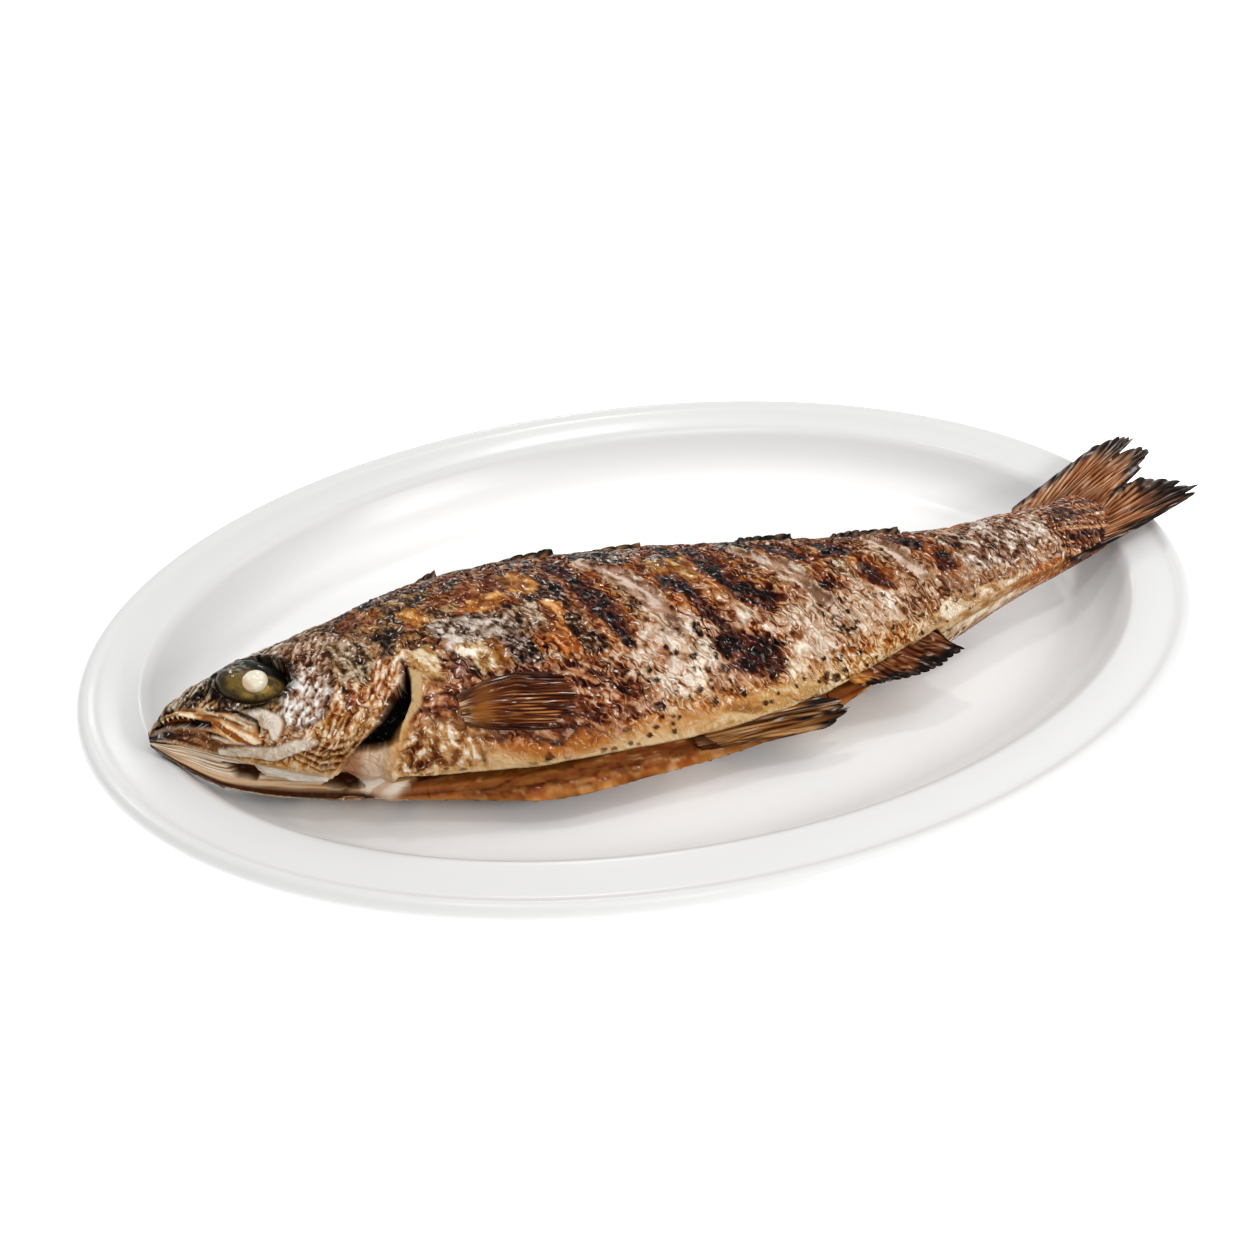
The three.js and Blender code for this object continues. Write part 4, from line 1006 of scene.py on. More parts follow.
tongue_edge = (patch(TONGUE, 1.6, 0.3) - tongue).clip(0)
stain(0.9 * tongue_edge, (104, 60, 30))
stain(tongue, (210, 190, 168))
# Near-white blots on the tongue are painted highlights.
stain(0.8 * tongue * blots(0.45, 0.62, 4, 162, 2), (238, 230, 218))
relief += 1.1 * tongue
OPENINGS = [
    ([(-138.5, 1.3), (-133, 1.2), (-129.5, 1.22), (-128.5, 1.5), (-130, 1.7), (-135, 1.66)], 3.0),
    ([(-110.5, 1.15), (-107.5, 1.15), (-101.5, 1.82), (-106.5, 1.9), (-112.5, 1.74), (-109.5, 1.5)], 4.0),
]
for places, depth in OPENINGS:
    opening = patch(places, 0.6, 0.4)
    # Each opening is painted dark brown: painted shade inside it.
    stain(opening, (70, 32, 10))
    relief -= depth * opening

# The gill cover ends in a free edge over a gap painted black as its shadow; behind it lie the isthmus and the
# shoulder.
COVER_EDGE = [(0.5, -82.5), (0.56, -84.5), (0.64, -85), (0.69, -86), (0.72, -89.5), (0.78, -93.5),
              (0.82, -97), (0.89, -102), (0.96, -107.5), (1.1, -113), (1.6, -118)]
cover = np.interp(ARC, *np.array(COVER_EDGE).T) - X
free_edge = ease(-0.4, 0.5, cover) * np.exp(-np.maximum(cover, 0) / 7)
relief += 1.3 * free_edge * ease(0.55, 0.63, ARC) * ease(1.15, 1.0, ARC)
gap = patch([(-84.6, 0.63), (-84.4, 0.68), (-85.5, 0.74), (-89, 0.81), (-91, 0.865), (-97, 0.9),
             (-103.5, 0.91), (-102, 0.885), (-97, 0.82), (-93.5, 0.78), (-89.5, 0.72),
             (-86, 0.69)], 0.45, 0.2)
isthmus = patch([(-103.8, 0.91), (-97, 0.9), (-91, 0.875), (-94, 0.98), (-94, 1.45), (-88.5, 1.75),
                 (-88.5, 1.92), (-95, 2.0), (-102, 1.9), (-107.8, 1.1), (-107.8, 0.97)], 0.6, 0.2)
lining = patch([(-84, 0.64), (-80.5, 0.66), (-82.8, 0.76), (-88.5, 0.825), (-90.5, 0.85), (-89, 0.81),
                (-85.2, 0.74)], 0.5, 0.3)
shoulder = patch([(-81, 0.66), (-60, 0.66), (-60, 1.0), (-94, 1.0), (-94, 0.95), (-90.5, 0.86), (-88.5, 0.82),
                  (-83, 0.76)], 0.8, 0.4)
near_gill = shoulder * ease(-62, -74, X + 6 * wander) * ease(0.79, 0.85, ARC + 0.06 * wander)
near_streaks = hatch(near_gill, 75, 3.6, 1.2, 172)
dapple(0.85 * near_gill, near_streaks, (108, 58, 22), (190, 146, 98), (236, 220, 196))
wrinkled *= 1 - 0.5 * near_gill
stain(lining, (186, 158, 118))
stain(isthmus, (206, 174, 146))
highlight_lumps = ease(0.3, 0.62, noise(np.column_stack([X / 4.5 + 3 * ARC, 1.2 * ARC, UNDER]), 171, 2))
# Painted highlights on the isthmus's lumps, and painted shade along its front edge.
stain(0.9 * isthmus * highlight_lumps, (240, 226, 210))
stain(0.7 * isthmus * ease(-99.5, -103.5, X + 2 * (ARC - 1)), (150, 96, 62))
relief += 0.3 * isthmus * (highlight_lumps - 0.3)
# The gap is painted near-black: painted shadow under the gill cover.
stain(gap, (6, 4, 3))
BANK = [(-88.5, 0.82), (-91, 0.875), (-94, 0.96), (-94.4, 1.2), (-93, 1.45), (-88, 1.66)]
bank = brush(BANK, 3.4, 1.2, 0.3, 3, taper=0.2)
stain(0.7 * bank, (196, 152, 98))
fold = brush([(-93, 0.9), (-98, 0.96), (-99, 1.25), (-96.5, 1.7)], 7, 5.0)
relief += 1.6 * bank + 0.5 * lining + (1.6 * fold - 1.4) * isthmus - 6.0 * gap
gloss = np.maximum(gloss, isthmus) * (1 - gap)
smooth = np.maximum.reduce([isthmus, gap, lining, bank])
wrinkled *= 1 - 0.9 * smooth
painted_glints *= 1 - 0.9 * smooth
PREOPERCLE = [(-104.5, 0.54), (-105.3, 0.63), (-108.3, 0.73), (-113, 0.785), (-118, 0.815)]
preopercle = brush(PREOPERCLE, 1.4, 0.5, 0.4, 3)
stain(0.55 * preopercle, (84, 52, 34))
relief -= 0.7 * preopercle

# The eye's socket: skin drawn tight to a rim round a sunken bowl, which is painted dark as the shade in it.
EYE = {"centre": (-126, -22.4, 44.9), "radii": (11, 7.8, 5.6), "yaw": -30, "tilt": 20}
SOCKET_FLOOR = 38
LENS = {"centre": (-125.5, -25, 48.6), "radii": (3.7, 3.4, 3.1), "yaw": 0, "tilt": 20}


def turned(points, yaw, tilt):
    """Points turned about Z by yaw and then about X by tilt, in degrees."""
    yaw, tilt = math.radians(yaw), math.radians(tilt)
    about_z = np.array([(math.cos(yaw), -math.sin(yaw), 0), (math.sin(yaw), math.cos(yaw), 0), (0, 0, 1)])
    about_x = np.array([(1, 0, 0), (0, math.cos(tilt), -math.sin(tilt)), (0, math.sin(tilt), math.cos(tilt))])
    return points @ about_z.T @ about_x.T


tooth_bone, tree = new_material(
    "cooked_teeth", base_color=(0.62, 0.42, 0.22, 1), roughness=0.3, coat_weight=0.6, coat_roughness=0.1)
TOOTH_COUNT, TOOTH_LENGTH, TOOTH_RADIUS, TOOTH_SIDES = 7, 1.5, 0.38, 10
tooth_turns = np.arange(TOOTH_SIDES) * 2 * np.pi / TOOTH_SIDES
tooth_ring = TOOTH_RADIUS * np.column_stack([np.cos(tooth_turns), -0.42 * np.sin(tooth_turns),
                                             0.9 * np.sin(tooth_turns)])
tooth_points, tooth_faces = [], []
for number, share in enumerate(np.linspace(0.06, 0.9, TOOTH_COUNT)):
    root = skin(-153 + 10 * share, 0.625 + 0.105 * share) + np.array([0, -0.1, 0.4])
    tip = root + TOOTH_LENGTH * (0.75 + 0.25 * (number % 2)) * np.array([0.15, -0.75, -0.35])
    first = number * (TOOTH_SIDES + 2)
    ring_numbers = first + np.arange(TOOTH_SIDES)
    tooth_points += [root + tooth_ring, [root, tip]]
    tooth_faces += [fan_faces(first + TOOTH_SIDES, ring_numbers, backwards=True),
                    fan_faces(first + TOOTH_SIDES + 1, ring_numbers)]
teeth = add_piece("teeth", np.concatenate(tooth_points), tooth_faces, tooth_bone)
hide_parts("fish")

axes = turned(np.eye(3), EYE["yaw"], EYE["tilt"])
local = (POINTS - np.array(EYE["centre"])) @ axes.T / np.array(EYE["radii"])
from_eye = np.where(POINTS[:, 2] > SOCKET_FLOOR, np.hypot(local[:, 0], local[:, 1]), 9)
socket = ease(1.02, 0.9, from_eye)
rim = ease(0.92, 1.0, from_eye) * ease(1.36, 1.1, from_eye + 0.12 * wander)
# The sunken bowl is painted dark brown: painted shade in the socket.
stain(socket, (30, 22, 12))
stain(0.8 * rim, (36, 26, 18))
relief = relief * (1 - socket) - 4.5 * socket + 0.7 * rim
painted_glints *= 1 - socket

# Cooking took the strongest colour out of the palest places.
GREY_OF_PALE, CONTRAST = np.array([1.02, 1.0, 0.96]), np.array([1.12, 1.135, 1.175])
brightness = colour @ np.array([0.3, 0.6, 0.1])
colour = paint(colour, 0.28 * ease(0.25, 0.6, brightness), brightness[:, None] * GREY_OF_PALE)
colour = 1.06 * colour ** CONTRAST
relief = np.where(UNDER, UNDER_RELIEF * relief, relief)
relief *= ease(STATION_X[0], STATION_X[0] + LEVEL_END, X) * ease(STATION_X[-1], STATION_X[-1] - LEVEL_END, X)


def grid_normals(grid):
    """Unit normals of a grid of points that closes on itself across its columns, from the tangents
    along rows and columns, pointing out of a body whose columns run from back to belly."""
    across = np.roll(grid, -1, 1) - np.roll(grid, 1, 1)
    normal = np.cross(across, np.gradient(grid, axis=0))
    return normal / np.maximum(np.linalg.norm(normal, axis=2, keepdims=True), 1e-9)


body = body + relief.reshape(underside.shape)[..., None] * grid_normals(body)
body = np.where(underside[..., None], settled(body), body)
over = np.maximum(body[..., 2] - CREST, 0)
body[..., 2] -= (1 - CREST_SHARE) * over
body_normals = grid_normals(body)
across_skin = np.where(slit_wall, 0.9 * across_slit, LENGTH)
skin_layers = {"colour": colour, "finish_and_painted_light": np.column_stack([wrinkled, painted_glints, gloss]).clip(0, 1),
               "chart": np.column_stack([X, across_skin, np.where(UNDER, -40.0, 0.0)])}


# The finest wrinkles and flakes of grilled skin: painted shade in their troughs, painted light on their
# crests and painted glints on top.
wrinkle_group = bpy.data.node_groups.new("grilled_wrinkles", "ShaderNodeTree")
wrinkle_group.interface.new_socket("Place", in_out="INPUT", socket_type="NodeSocketVector")
for socket_name in ("Wrinkle", "Painted glints", "Height"):
    wrinkle_group.interface.new_socket(socket_name, in_out="OUTPUT", socket_type="NodeSocketFloat")
tree = Tree(wrinkle_group)
place = wrinkle_group.nodes.new("NodeGroupInput").outputs[0]
swirl = tree.vector("SUBTRACT", tree.clouds(place, 0.3, output=1), {1: (0.5, 0.5, 0.5)})
bent = tree.vector("ADD", place, {1: tree.vector("SCALE", swirl, {3: 4.5})})
along = tree.vector("DOT_PRODUCT", bent, {1: (math.cos(GRAIN), math.sin(GRAIN), 0)}, 1)
across = tree.vector("DOT_PRODUCT", bent, {1: (math.sin(GRAIN), -math.cos(GRAIN), 0)}, 1)
lie = tree.add("CombineXYZ", {0: tree.times(along, 0.42), 1: across, 2: 0.0})
folds = tree.maths("SINE", tree.times(tree.clouds(lie, 0.34, 1.0), 2 * math.pi * 5.0))
threads = tree.times(tree.maths("SUBTRACT", tree.clouds(lie, 0.9, 1.0), 0.5), 3.6)
wrinkle = tree.plus(tree.times(folds, 0.7), tree.times(threads, 0.4))
# Painted glints: near-white dots on the wrinkles' crests that stand in for highlights.
glint_dots = tree.times(tree.ramp(wrinkle, 0.1, 0.6), tree.ramp(tree.clouds(bent, 1.15, 0.5), 0.62, 0.68))
heights = tree.plus(tree.times(wrinkle, 0.16), tree.times(tree.clouds(bent, 1.6), 0.2))
softened = tree.maths("MINIMUM", wrinkle, tree.times(wrinkle, 0.42))
group_out = wrinkle_group.nodes.new("NodeGroupOutput")
for number, value in enumerate((softened, glint_dots, heights)):
    wrinkle_group.links.new(value, group_out.inputs[number])

grilled_skin, tree = new_material(
    "grilled_skin", roughness=0.5, ior=1.45, specular_ior_level=0.06, coat_ior=1.35, coat_roughness=0.07)
wrinkles = tree.nodes.new("ShaderNodeGroup")
wrinkles.node_tree = wrinkle_group
chart_place = tree.attribute("chart", "Vector")
tree.links.new(chart_place, wrinkles.inputs[0])
fine_wrinkle, fine_glint, fine_height = wrinkles.outputs
base = tree.attribute("colour")
split = tree.nodes.new("ShaderNodeSeparateColor")
tree.links.new(tree.attribute("finish_and_painted_light"), split.inputs[0])
how_wrinkled, how_glinted, how_glossy = split.outputs
# Painted shade and light: the base colour is darkened in the wrinkles' troughs and lightened on their crests.
deepness = tree.maths("POWER", 0.35, tree.times(fine_wrinkle, how_wrinkled))
painted_wrinkle_shading = tree.add("Gamma", {0: base, 1: deepness})
glints_here = tree.times(fine_glint, how_glinted)
tree.feed("Base Color", tree.mix(glints_here, painted_wrinkle_shading, tree.mix(0.85, base, (0.92, 0.89, 0.86, 1))))
tree.feed("Roughness", tree.ramp(how_glossy, 0, 1, 0.6, 0.35))
wet = tree.ramp(tree.clouds(chart_place, 0.35), 0.4, 0.55, 0.1, 1.0)
crests = tree.ramp(fine_wrinkle, 0.0, 0.24, 0.06, 1.0)
tree.feed("Coat Weight", tree.times(tree.times(wet, crests), how_glossy))
strength = tree.plus(0.15, tree.times(tree.maths("MAXIMUM", how_wrinkled, how_glinted), 0.85))
bump_height = tree.times(fine_height, strength)
tree.feed("Normal", tree.add("Bump", {"Strength": 1.0, "Distance": 0.0014, "Height": bump_height}))


def body_piece(name, first, last):
    """The stretch of the body from one row to another, closed by a flat cap at each end."""
    ring = len(columns)
    count = last - first + 1
    span = slice(first * ring, (last + 1) * ring)
    stretch = body.reshape(-1, 3)[span]
    caps = [stretch[:ring], stretch[-ring:]]
    centres = [cap.mean(0, keepdims=True) for cap in caps]
    start, end = count * ring, (count + 1) * ring
    faces = [grid_faces(count, ring),
             fan_faces(end + ring, start + np.arange(ring), backwards=True),
             fan_faces(end + ring + 1, end + np.arange(ring))]
    which = np.concatenate([np.arange(start), np.arange(ring), np.arange(start - ring, start),
                            [0, start - 1]])
    layers = {key: values[span][which] for key, values in skin_layers.items()}
    piece = add_piece(name, np.concatenate([stretch, *caps, *centres]), faces, grilled_skin, layers)
    ends = np.array([[-1.0, 0, 0]] * ring + [[1.0, 0, 0]] * ring + [[-1.0, 0, 0], [1.0, 0, 0]])
    normals = np.concatenate([body_normals.reshape(-1, 3)[span], ends])
    piece.data.normals_split_custom_set_from_vertices(normals)
    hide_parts("fish")


middle_row = HEAD_ROWS - 1 + TRUNK_ROWS // 2
body_piece("fish_head", 0, HEAD_ROWS - 1)
body_piece("fish_trunk_front", HEAD_ROWS - 1, middle_row)
body_piece("fish_trunk_rear", middle_row, len(rows) - 1)


# ---------------------------------------------------------------------------
# Eyes. The cooked eyeball is a cloudy olive jelly that shrank in its socket;
# the lens in it has set to a hard ivory bead.

EYE_TURNS = 160
EYE_RINGS = 72


def ellipsoid(centre, radii, yaw, tilt, side, bumps):
    """A closed ball of rings from pole to pole, swollen by bumps(unit points), stretched to its radii
    and turned by yaw and tilt. side is 1 for the fish's left, -1 mirrors it to the right."""
    polar = np.linspace(0, np.pi, EYE_RINGS + 2)[1:-1, None]
    turn = np.arange(EYE_TURNS)[None, :] * 2 * np.pi / EYE_TURNS
    unit = stacked(np.sin(polar) * np.cos(turn), np.sin(polar) * np.sin(turn), np.cos(polar))
    unit = np.concatenate([unit.reshape(-1, 3), [[0, 0, 1], [0, 0, -1]]])
    points = turned(unit * (1 + bumps(unit))[:, None] * np.array(radii), yaw, tilt) + np.array(centre)
    last = EYE_RINGS * EYE_TURNS
    faces = [grid_faces(EYE_RINGS, EYE_TURNS), fan_faces(last, np.arange(EYE_TURNS), backwards=True),
             fan_faces(last + 1, np.arange(last - EYE_TURNS, last))]
    if side > 0:
        return unit, points, [f[:, ::-1] for f in faces]
    points[:, 2] = 2 * MIDDLE_HEIGHT - points[:, 2]
    return unit, points, faces


def jelly_bumps(unit):
    """Wrinkles of a shrunken jelly, and the dent round the lens."""
    to_lens = np.linalg.norm((unit - np.array([0.12, -0.3, 0.95])) * np.array([1.3, 1, 0.6]), axis=1)
    return 0.05 * (noise(unit * 5, 71, 3) - 0.6) - 0.035 * ease(0.5, 0.2, to_lens)


def eye_material(name, strength, depth, scale, detail, **settings):
    """A wet material in the piece's own colours, with a fine grain of this scale in its surface."""
    material, tree = new_material(name, **settings)
    tree.feed("Base Color", tree.attribute("colour"))
    in_millimetres = tree.vector("SCALE", tree.add("TexCoord", {}, "Object"), {3: 1 / MM})
    fine_grain = tree.clouds(in_millimetres, scale, detail)
    tree.feed("Normal", tree.add("Bump", {"Strength": strength, "Distance": depth, "Height": fine_grain}))
    return material


eye_jelly = eye_material("eye_jelly", 0.35, 0.0006, 1.3, 3, roughness=0.35, ior=1.4, specular_ior_level=0.06,
                         coat_weight=0.4, coat_ior=1.33, coat_roughness=0.06)
cooked_lens = eye_material("cooked_lens", 0.2, 0.0004, 0.9, 2, roughness=0.25, ior=1.45,
                           coat_weight=0.8, coat_roughness=0.06)

for side_name, side in (("left", 1), ("right", -1)):
    unit, points, faces = ellipsoid(**EYE, side=side, bumps=jelly_bumps)
    out = np.hypot(unit[:, 0], unit[:, 1])
    cloud = noise(unit * 3.2, 72, 3)
    jelly = np.tile(shade(104, 82, 36), (len(unit), 1))
    jelly = paint(jelly, ease(0.45, 0.65, cloud) * ease(-0.5, 0.6, unit[:, 0]), shade(160, 130, 66))
    jelly = paint(jelly, ease(0.5, 0.3, cloud) * 0.8, shade(48, 40, 20))
    jelly = paint(jelly, ease(0.66, 0.88, out) * 0.9, shade(34, 24, 12))
    # The jelly's upper part is painted near-black: painted shade under the lid.
    lid_shade = ease(0.12, 0.4, unit[:, 1] + 0.1 * unit[:, 0] + 0.3 * (cloud - 0.5))
    jelly = paint(jelly, lid_shade, shade(16, 14, 10))
    # Pale streaks on the jelly's front are painted reflections.
    painted_reflection = ease(0.56, 0.66, noise(unit * (7, 12, 7), 73, 3))
    painted_reflection = painted_reflection * ease(-0.1, -0.4, unit[:, 0]) * ease(-0.3, 0.2, unit[:, 1])
    jelly = paint(jelly, 0.35 * painted_reflection, shade(180, 182, 180))
    eyeball = add_piece(f"eye_{side_name}", points, faces, eye_jelly, {"colour": jelly})
    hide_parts(f"eyeball_{side_name}")

    unit, points, faces = ellipsoid(**LENS, side=side, bumps=lambda u: 0.05 * (noise(u * 2.2, 74, 2) - 0.5))
    bead = np.tile(shade(216, 206, 182), (len(unit), 1))
    # The lens has painted highlights in pale blots, and painted shade on its side towards the snout.
    bead = paint(bead, 0.5 * ease(0.5, 0.7, noise(unit * 2.5, 75, 2)), shade(234, 227, 208))
    bead = paint(bead, 0.7 * ease(-0.5, -0.95, unit[:, 0] + 0.6 * unit[:, 1]), shade(182, 140, 84))
    lens = add_piece(f"lens_{side_name}", points, faces, cooked_lens, {"colour": bead})
    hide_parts(f"eye_lens_{side_name}")


# ---------------------------------------------------------------------------
# Fins. Thin webs on bony rays, dried brown by the heat and burnt black and
# ragged at their tips. Each grows from the body along its root line.

TAIL_ROOT = [(124, -21, 33), (136, -17, 33), (147, -11, 33), (153, -3, 33), (154, 4, 33), (148, 9, 33),
             (137, 4, 33), (122, 0.5, 33)]
TAIL_TIPS = [(137, -20.6, 33), (150, -16.2, 33), (168, -9.8, 33.5), (186, -2.6, 34), (192.6, 0.4, 34),
             (186, 2, 34), (195.7, 4.6, 34), (184, 6.4, 34), (191.4, 8.2, 34), (184, 11.6, 34),
             (178, 14, 34), (165.5, 9.8, 34), (172, 15, 34), (183, 20, 34), (180, 22.6, 34),
             (186.4, 24.4, 34), (190.4, 28.4, 34), (188, 31.8, 34), (176, 29.4, 34), (189, 36.9, 34),
             (187.4, 39.2, 34), (183.5, 39.8, 34), (172, 36.2, 34), (160, 29.6, 33.5), (143, 19.9, 33),
             (129, 11.4, 33)]
ANAL_ROOT = [(44, -51, 29.5), (60, -44.5, 30.5), (78, -38, 31.5)]
ANAL_TIPS = [(48, -55, 28), (55, -55, 28), (62, -55.6, 28.5), (71, -55.4, 29), (77, -53, 29.5),
             (84, -49.6, 30), (79, -46.6, 31)]
PELVIC_ROOTS = [[(-7, -58, 30), (-3, -60.5, 26), (1, -61, 22.5)],
                [(-6, -58, 24), (-3, -60, 20), (-1, -57, 17)]]
PELVIC_TIPS = [[(33, -57.6, 31), (41, -58.8, 29), (39, -62, 27), (44, -59, 25.5), (34, -63.4, 23)],
               [(33, -60, 22), (38, -59, 19.5), (35, -56, 17), (36, -52, 15)]]
FIRST_DORSAL_ROOT = [(-82, 11, 33), (-62, 13, 33), (-44, 14.5, 33), (-22, 12, 33), (-4, 9.5, 33)]
FIRST_DORSAL_TIPS = [(-80, 14.5, 39.5), (-73.5, 18.4, 40), (-69, 21.6, 40.5), (-64.6, 23.9, 40.5),
                     (-65, 18, 39.5), (-59, 18, 39.5), (-51, 19, 39.5), (-48, 22.2, 40), (-40, 23.5, 40.5),
                     (-34, 23.9, 40.5), (-26.6, 24.5, 40.5), (-27, 18, 39.5), (-20.5, 18, 39.5),
                     (-14, 20.5, 40), (-6.6, 20.6, 40), (1.5, 20, 40), (1, 14, 39.5)]
SECOND_DORSAL_ROOT = [(24, 4.6, 33), (40, 1.7, 33), (58, -3, 33), (80, -5.5, 33)]
SECOND_DORSAL_TIPS = [(28.5, 12, 38), (33, 15, 38.5), (40, 14.2, 38.5), (50, 12.8, 38.5), (49.5, 7, 37.5),
                      (59, 5, 37.5), (63, 8.6, 38.5), (69, 8.3, 38.5), (75.5, 7.2, 38.5), (84.5, 5.8, 38.5),
                      (84, 0.5, 37.5)]


def grid_noise(places, seed, octaves=1):
    """Noise at a grid of places."""
    return noise(places.reshape(-1, 3), seed, octaves).reshape(places.shape[:-1])


def scatter(number, seed):
    """A random value from 0 to 1 for each whole number."""
    return grid_noise(stacked(np.floor(number) * 7.31 + 0.5, 0.5, 0.5), seed)


def add_sheet(name, top, low, outward, tone, flow, finish_and_painted_light):
    """A closed sheet between an upper and a lower grid of points, with the same tone and flow on both
    sides. Its faces are turned so that those of the upper side point outward."""
    sheet = np.concatenate([top, low[:, ::-1]], 1)
    ring = sheet.shape[1]
    count = len(sheet) * ring
    points = np.concatenate([sheet.reshape(-1, 3), [sheet[0].mean(0), sheet[-1].mean(0)]])
    faces = [grid_faces(len(sheet), ring), fan_faces(count, np.arange(ring), backwards=True),
             fan_faces(count + 1, np.arange(count - ring, count))]
    facing = np.cross(top[1:, :-1] - top[:-1, :-1], top[:-1, 1:] - top[:-1, :-1])
    if np.sum(facing * outward[1:, 1:]) > 0:
        faces = [f[:, ::-1] for f in faces]
    where = np.concatenate([np.arange(count), [0, count - ring]])
    layers = {key: np.concatenate([layer, layer[:, ::-1]], 1).reshape(-1, 3)[where]
              for key, layer in (("colour", tone), ("chart", flow), ("finish_and_painted_light", finish_and_painted_light))}
    piece = add_piece(name, points, faces, grilled_skin, layers)
    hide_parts("fish")


FIN_FINISH_AND_PAINTED_LIGHT = np.array([0.5, 0.25, 0.8])
ASH, GLOW = (20, 13, 10), (206, 140, 60)


def fin(name, root, tips, lift, halves, rays, ragged, tones, seed, across=8, rows_along=44, burn=0.7,
        edge_glow=0.0, bony=0.45, reach_out=1.0):
    """A closed sheet of rays. Its middle runs straight from the root line to the tip line, and ends
    reach_out of the way, less up to ragged at random from ray to ray. Its half thickness goes from the
    first of halves to the second, and each ray is a ridge along it, bony deep as a share of that."""
    lift = np.array(lift, float) / np.linalg.norm(lift)
    share = np.linspace(0, 1, rays * across + 1)[:, None]
    phase = share * rays
    t = np.linspace(0, 1, rows_along + 1)[None, :]
    ridge = np.abs(np.sin(np.pi * phase)) ** 0.7
    length = reach_out - ragged * scatter(phase, seed) - 0.5 * ragged * (1 - ridge)
    reached = t * length
    start, end = (blend(share, np.linspace(0, 1, len(line)), line) for line in (root, tips))
    middle = start + (end - start) * reached[..., None]
    wave = 0.35 * (grid_noise(middle / 7, seed + 3, 2) - 0.5) * reached
    half = halves[0] + (halves[1] - halves[0]) * reached
    half = half * (1 - bony + bony * ridge) * ease(1.04, 0.9, t)
    top, low = (middle + lift * (wave + way * half)[..., None] for way in (1, -1))
    flow = stacked(phase * 1.6, reached * 6, seed)
    streak = grid_noise(flow * (1.2, 1, 1), seed + 5, 3)
    stained = grid_noise(stacked(share * 7, reached * 3, seed), seed + 7, 3)
    uneven = 0.45 * (streak - 0.5) + 0.14 * (scatter(phase, seed + 9) - 0.5)
    burnt = ease(burn - 0.12, burn + 0.12, t + uneven)
    body_tone, ray_tone, web_tone = (shade(*tone) for tone in tones)
    tone = np.broadcast_to(body_tone, reached.shape + (3,))
    past_root = ease(0.1, 0.3, t)
    tone = paint(tone, ease(0.55, 0.95, ridge) * past_root * (0.35 + 0.9 * streak).clip(0, 1), ray_tone)
    tone = paint(tone, ease(0.55, 0.2, ridge) * past_root * 0.8, web_tone)
    tone = paint(tone, 0.75 * ease(0.5, 0.66, stained), web_tone)
    tone = paint(tone, 0.4 * ease(0.46, 0.32, stained), ray_tone)
    tone = paint(tone, 0.93 * burnt, shade(*ASH))
    if edge_glow:
        tone = paint(tone, 0.8 * ease(edge_glow, 0.0, share) * (1 - burnt), shade(*GLOW))
    add_sheet(name, top, low, lift * np.ones_like(top), tone, flow, np.broadcast_to(FIN_FINISH_AND_PAINTED_LIGHT, top.shape))


fin("tail_fin", TAIL_ROOT, TAIL_TIPS, (0, 0, 1), (3.0, 0.6), 44, 0.07,
    [(112, 64, 34), (178, 128, 90), (58, 28, 14)], 81, burn=0.7, reach_out=1.03)
fin("anal_fin", ANAL_ROOT, ANAL_TIPS, (0.1, -0.5, 0.86), (1.5, 0.5), 16, 0.12,
    [(84, 46, 24), (132, 78, 40), (34, 16, 10)], 82, burn=0.7, edge_glow=0.22)
fin("pelvic_fin_left", PELVIC_ROOTS[0], PELVIC_TIPS[0], (0, -0.9, 0.45), (1.4, 0.5), 9, 0.06,
    [(126, 80, 36), (172, 126, 76), (58, 30, 10)], 83, burn=0.86)
fin("pelvic_fin_right", PELVIC_ROOTS[1], PELVIC_TIPS[1], (0, -0.8, -0.6), (1.3, 0.5), 8, 0.06,
    [(112, 68, 30), (150, 102, 56), (54, 28, 10)], 84, burn=0.8)
fin("first_dorsal_fin", FIRST_DORSAL_ROOT, FIRST_DORSAL_TIPS, (0, -0.6, 0.8), (0.9, 0.3), 24, 0.07,
    [(84, 54, 30), (150, 110, 66), (32, 20, 12)], 85, burn=0.92, bony=0.2)
fin("second_dorsal_fin", SECOND_DORSAL_ROOT, SECOND_DORSAL_TIPS, (0, -0.6, 0.8), (0.9, 0.3), 24, 0.07,
    [(56, 36, 24), (124, 92, 66), (26, 17, 12)], 86, burn=0.9, bony=0.2)

# The pectoral fins lie folded back along the flanks, stuck to the skin at their base.
PECTORAL_TOP = [(-73, 0.745), (-65, 0.715), (-56, 0.705), (-44, 0.72), (-31, 0.76)]
PECTORAL_LOW = [(-72, 0.84), (-66, 0.86), (-58, 0.875), (-46, 0.89), (-32, 0.895)]
PECTORAL_RAYS = 17
PECTORAL_ROWS = 80
PECTORAL_RISE = (0.15, 0.6)
PECTORAL_DEPTH = 1.2


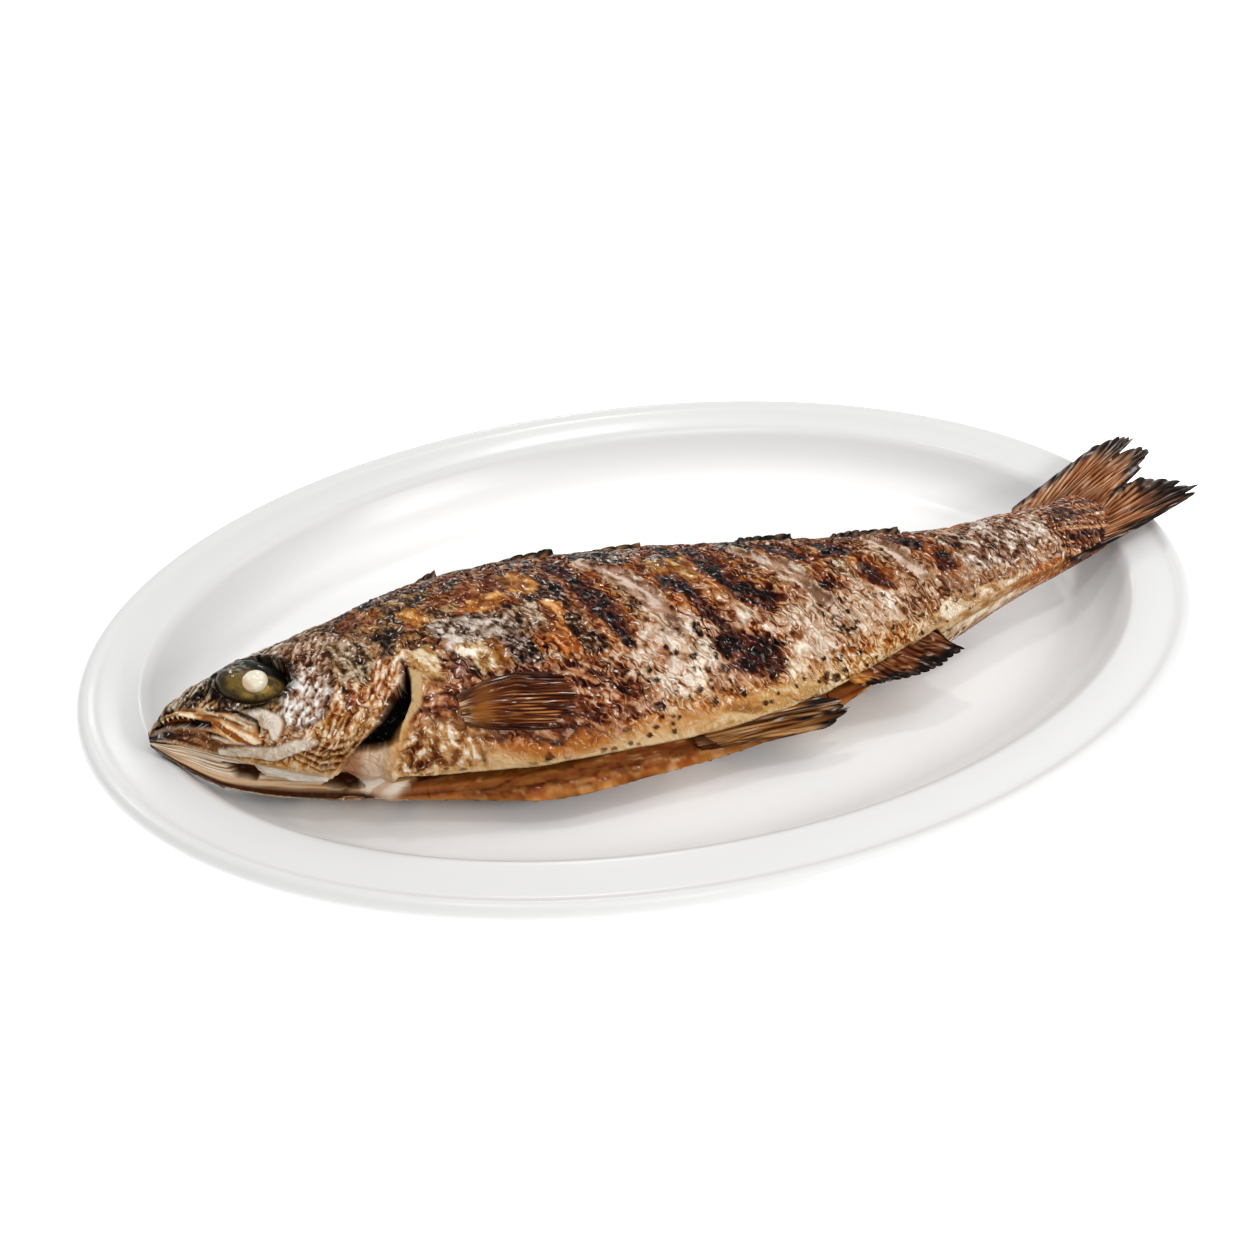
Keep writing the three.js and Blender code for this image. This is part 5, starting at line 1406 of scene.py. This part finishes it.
def pectoral_fin(name, side):
    """A fan on the skin between two lines along the flank. A place t along and u across it lies at that
    share of both lines, raised over the skin by a swelling that is highest in the middle."""
    u = np.linspace(0, 1, PECTORAL_RAYS * 8 + 1)[:, None]
    t = np.linspace(0, 1, PECTORAL_ROWS + 1)[None, :]
    ridge = np.abs(np.sin(np.pi * u * PECTORAL_RAYS)) ** 0.7
    length = 1 - 0.34 * scatter(u * PECTORAL_RAYS, 91) - 0.08 * (1 - ridge) - 0.12 * (2 * u - 1) ** 2
    reached = t * length
    high, low = (blend(reached, np.linspace(0, 1, len(line)), line) for line in (PECTORAL_TOP, PECTORAL_LOW))
    x, arc = np.moveaxis((1 - u)[..., None] * high + u[..., None] * low, -1, 0)
    v = arc if side > 0 else 3 - arc
    here = skin(x, v)
    normal = np.cross(skin(x, v + 0.01) - skin(x, v - 0.01), skin(x + 0.5, v) - skin(x - 0.5, v))
    normal /= np.linalg.norm(normal, axis=-1, keepdims=True)
    rise, most = PECTORAL_RISE
    swell = rise + (most - rise) * np.sin(np.pi * u) ** 0.6 * ease(-0.05, 0.2, t)
    top = here + normal * (swell + 0.3 * ridge * ease(0.3, 0.45, t))[..., None]
    base = here - normal * PECTORAL_DEPTH
    if side < 0:
        top, base = settled(top), settled(base)
    flow = stacked(u * PECTORAL_RAYS * 1.6, reached * 7, 0)
    streak = grid_noise(flow, 92, 3)
    blotch = grid_noise(stacked(u * 4, reached * 6, 5), 93, 3)
    near = ease(0.2, 0.06, reached + 0.25 * (streak - 0.5))
    far = ease(0.3, 0.5, reached + 0.5 * (blotch - 0.5))
    ragged_u = u + 0.2 * (blotch - 0.5)
    tone = np.broadcast_to(shade(106, 58, 22), top.shape)
    coats = [
        (0.9 * near, (56, 30, 18)),
        (0.9 * near * ease(0.5, 0.65, streak), (196, 158, 126)),
        (0.45 * ease(0.5, 0.66, blotch), (150, 92, 30)),
        (0.855 * far, (74, 32, 12)),
        (0.9 * far * ease(0.6, 0.2, ridge), (30, 12, 6)),
        (0.72 * far * ease(0.6, 0.95, ridge) * ease(0.5, 0.66, streak), (196, 130, 76)),
        (0.9 * ease(0.6, 0.85, reached + 0.8 * (blotch - 0.5) + 0.25 * (u - 0.5)), (26, 11, 7)),
        (0.72 * ease(0.72, 0.85, reached) * ease(0.52, 0.62, streak) * ease(0.9, 0.6, u), (184, 84, 34)),
        (0.63 * ease(0.5, 0.8, reached) * ease(0.56, 0.66, blotch), (186, 148, 130)),
        (0.85 * np.maximum(ease(0.24, 0.03, ragged_u), ease(0.8, 0.97, ragged_u)), (58, 28, 14)),
    ]
    for mask, over in coats:
        tone = paint(tone, mask, shade(*over))
    webbed = ease(0.22, 0.42, reached)
    add_sheet(name, top, base, normal, tone, flow, stacked(0.08 + 0.42 * webbed, 0.6 * webbed, 0.9))


pectoral_fin("pectoral_fin_left", 1)
pectoral_fin("pectoral_fin_right", -1)
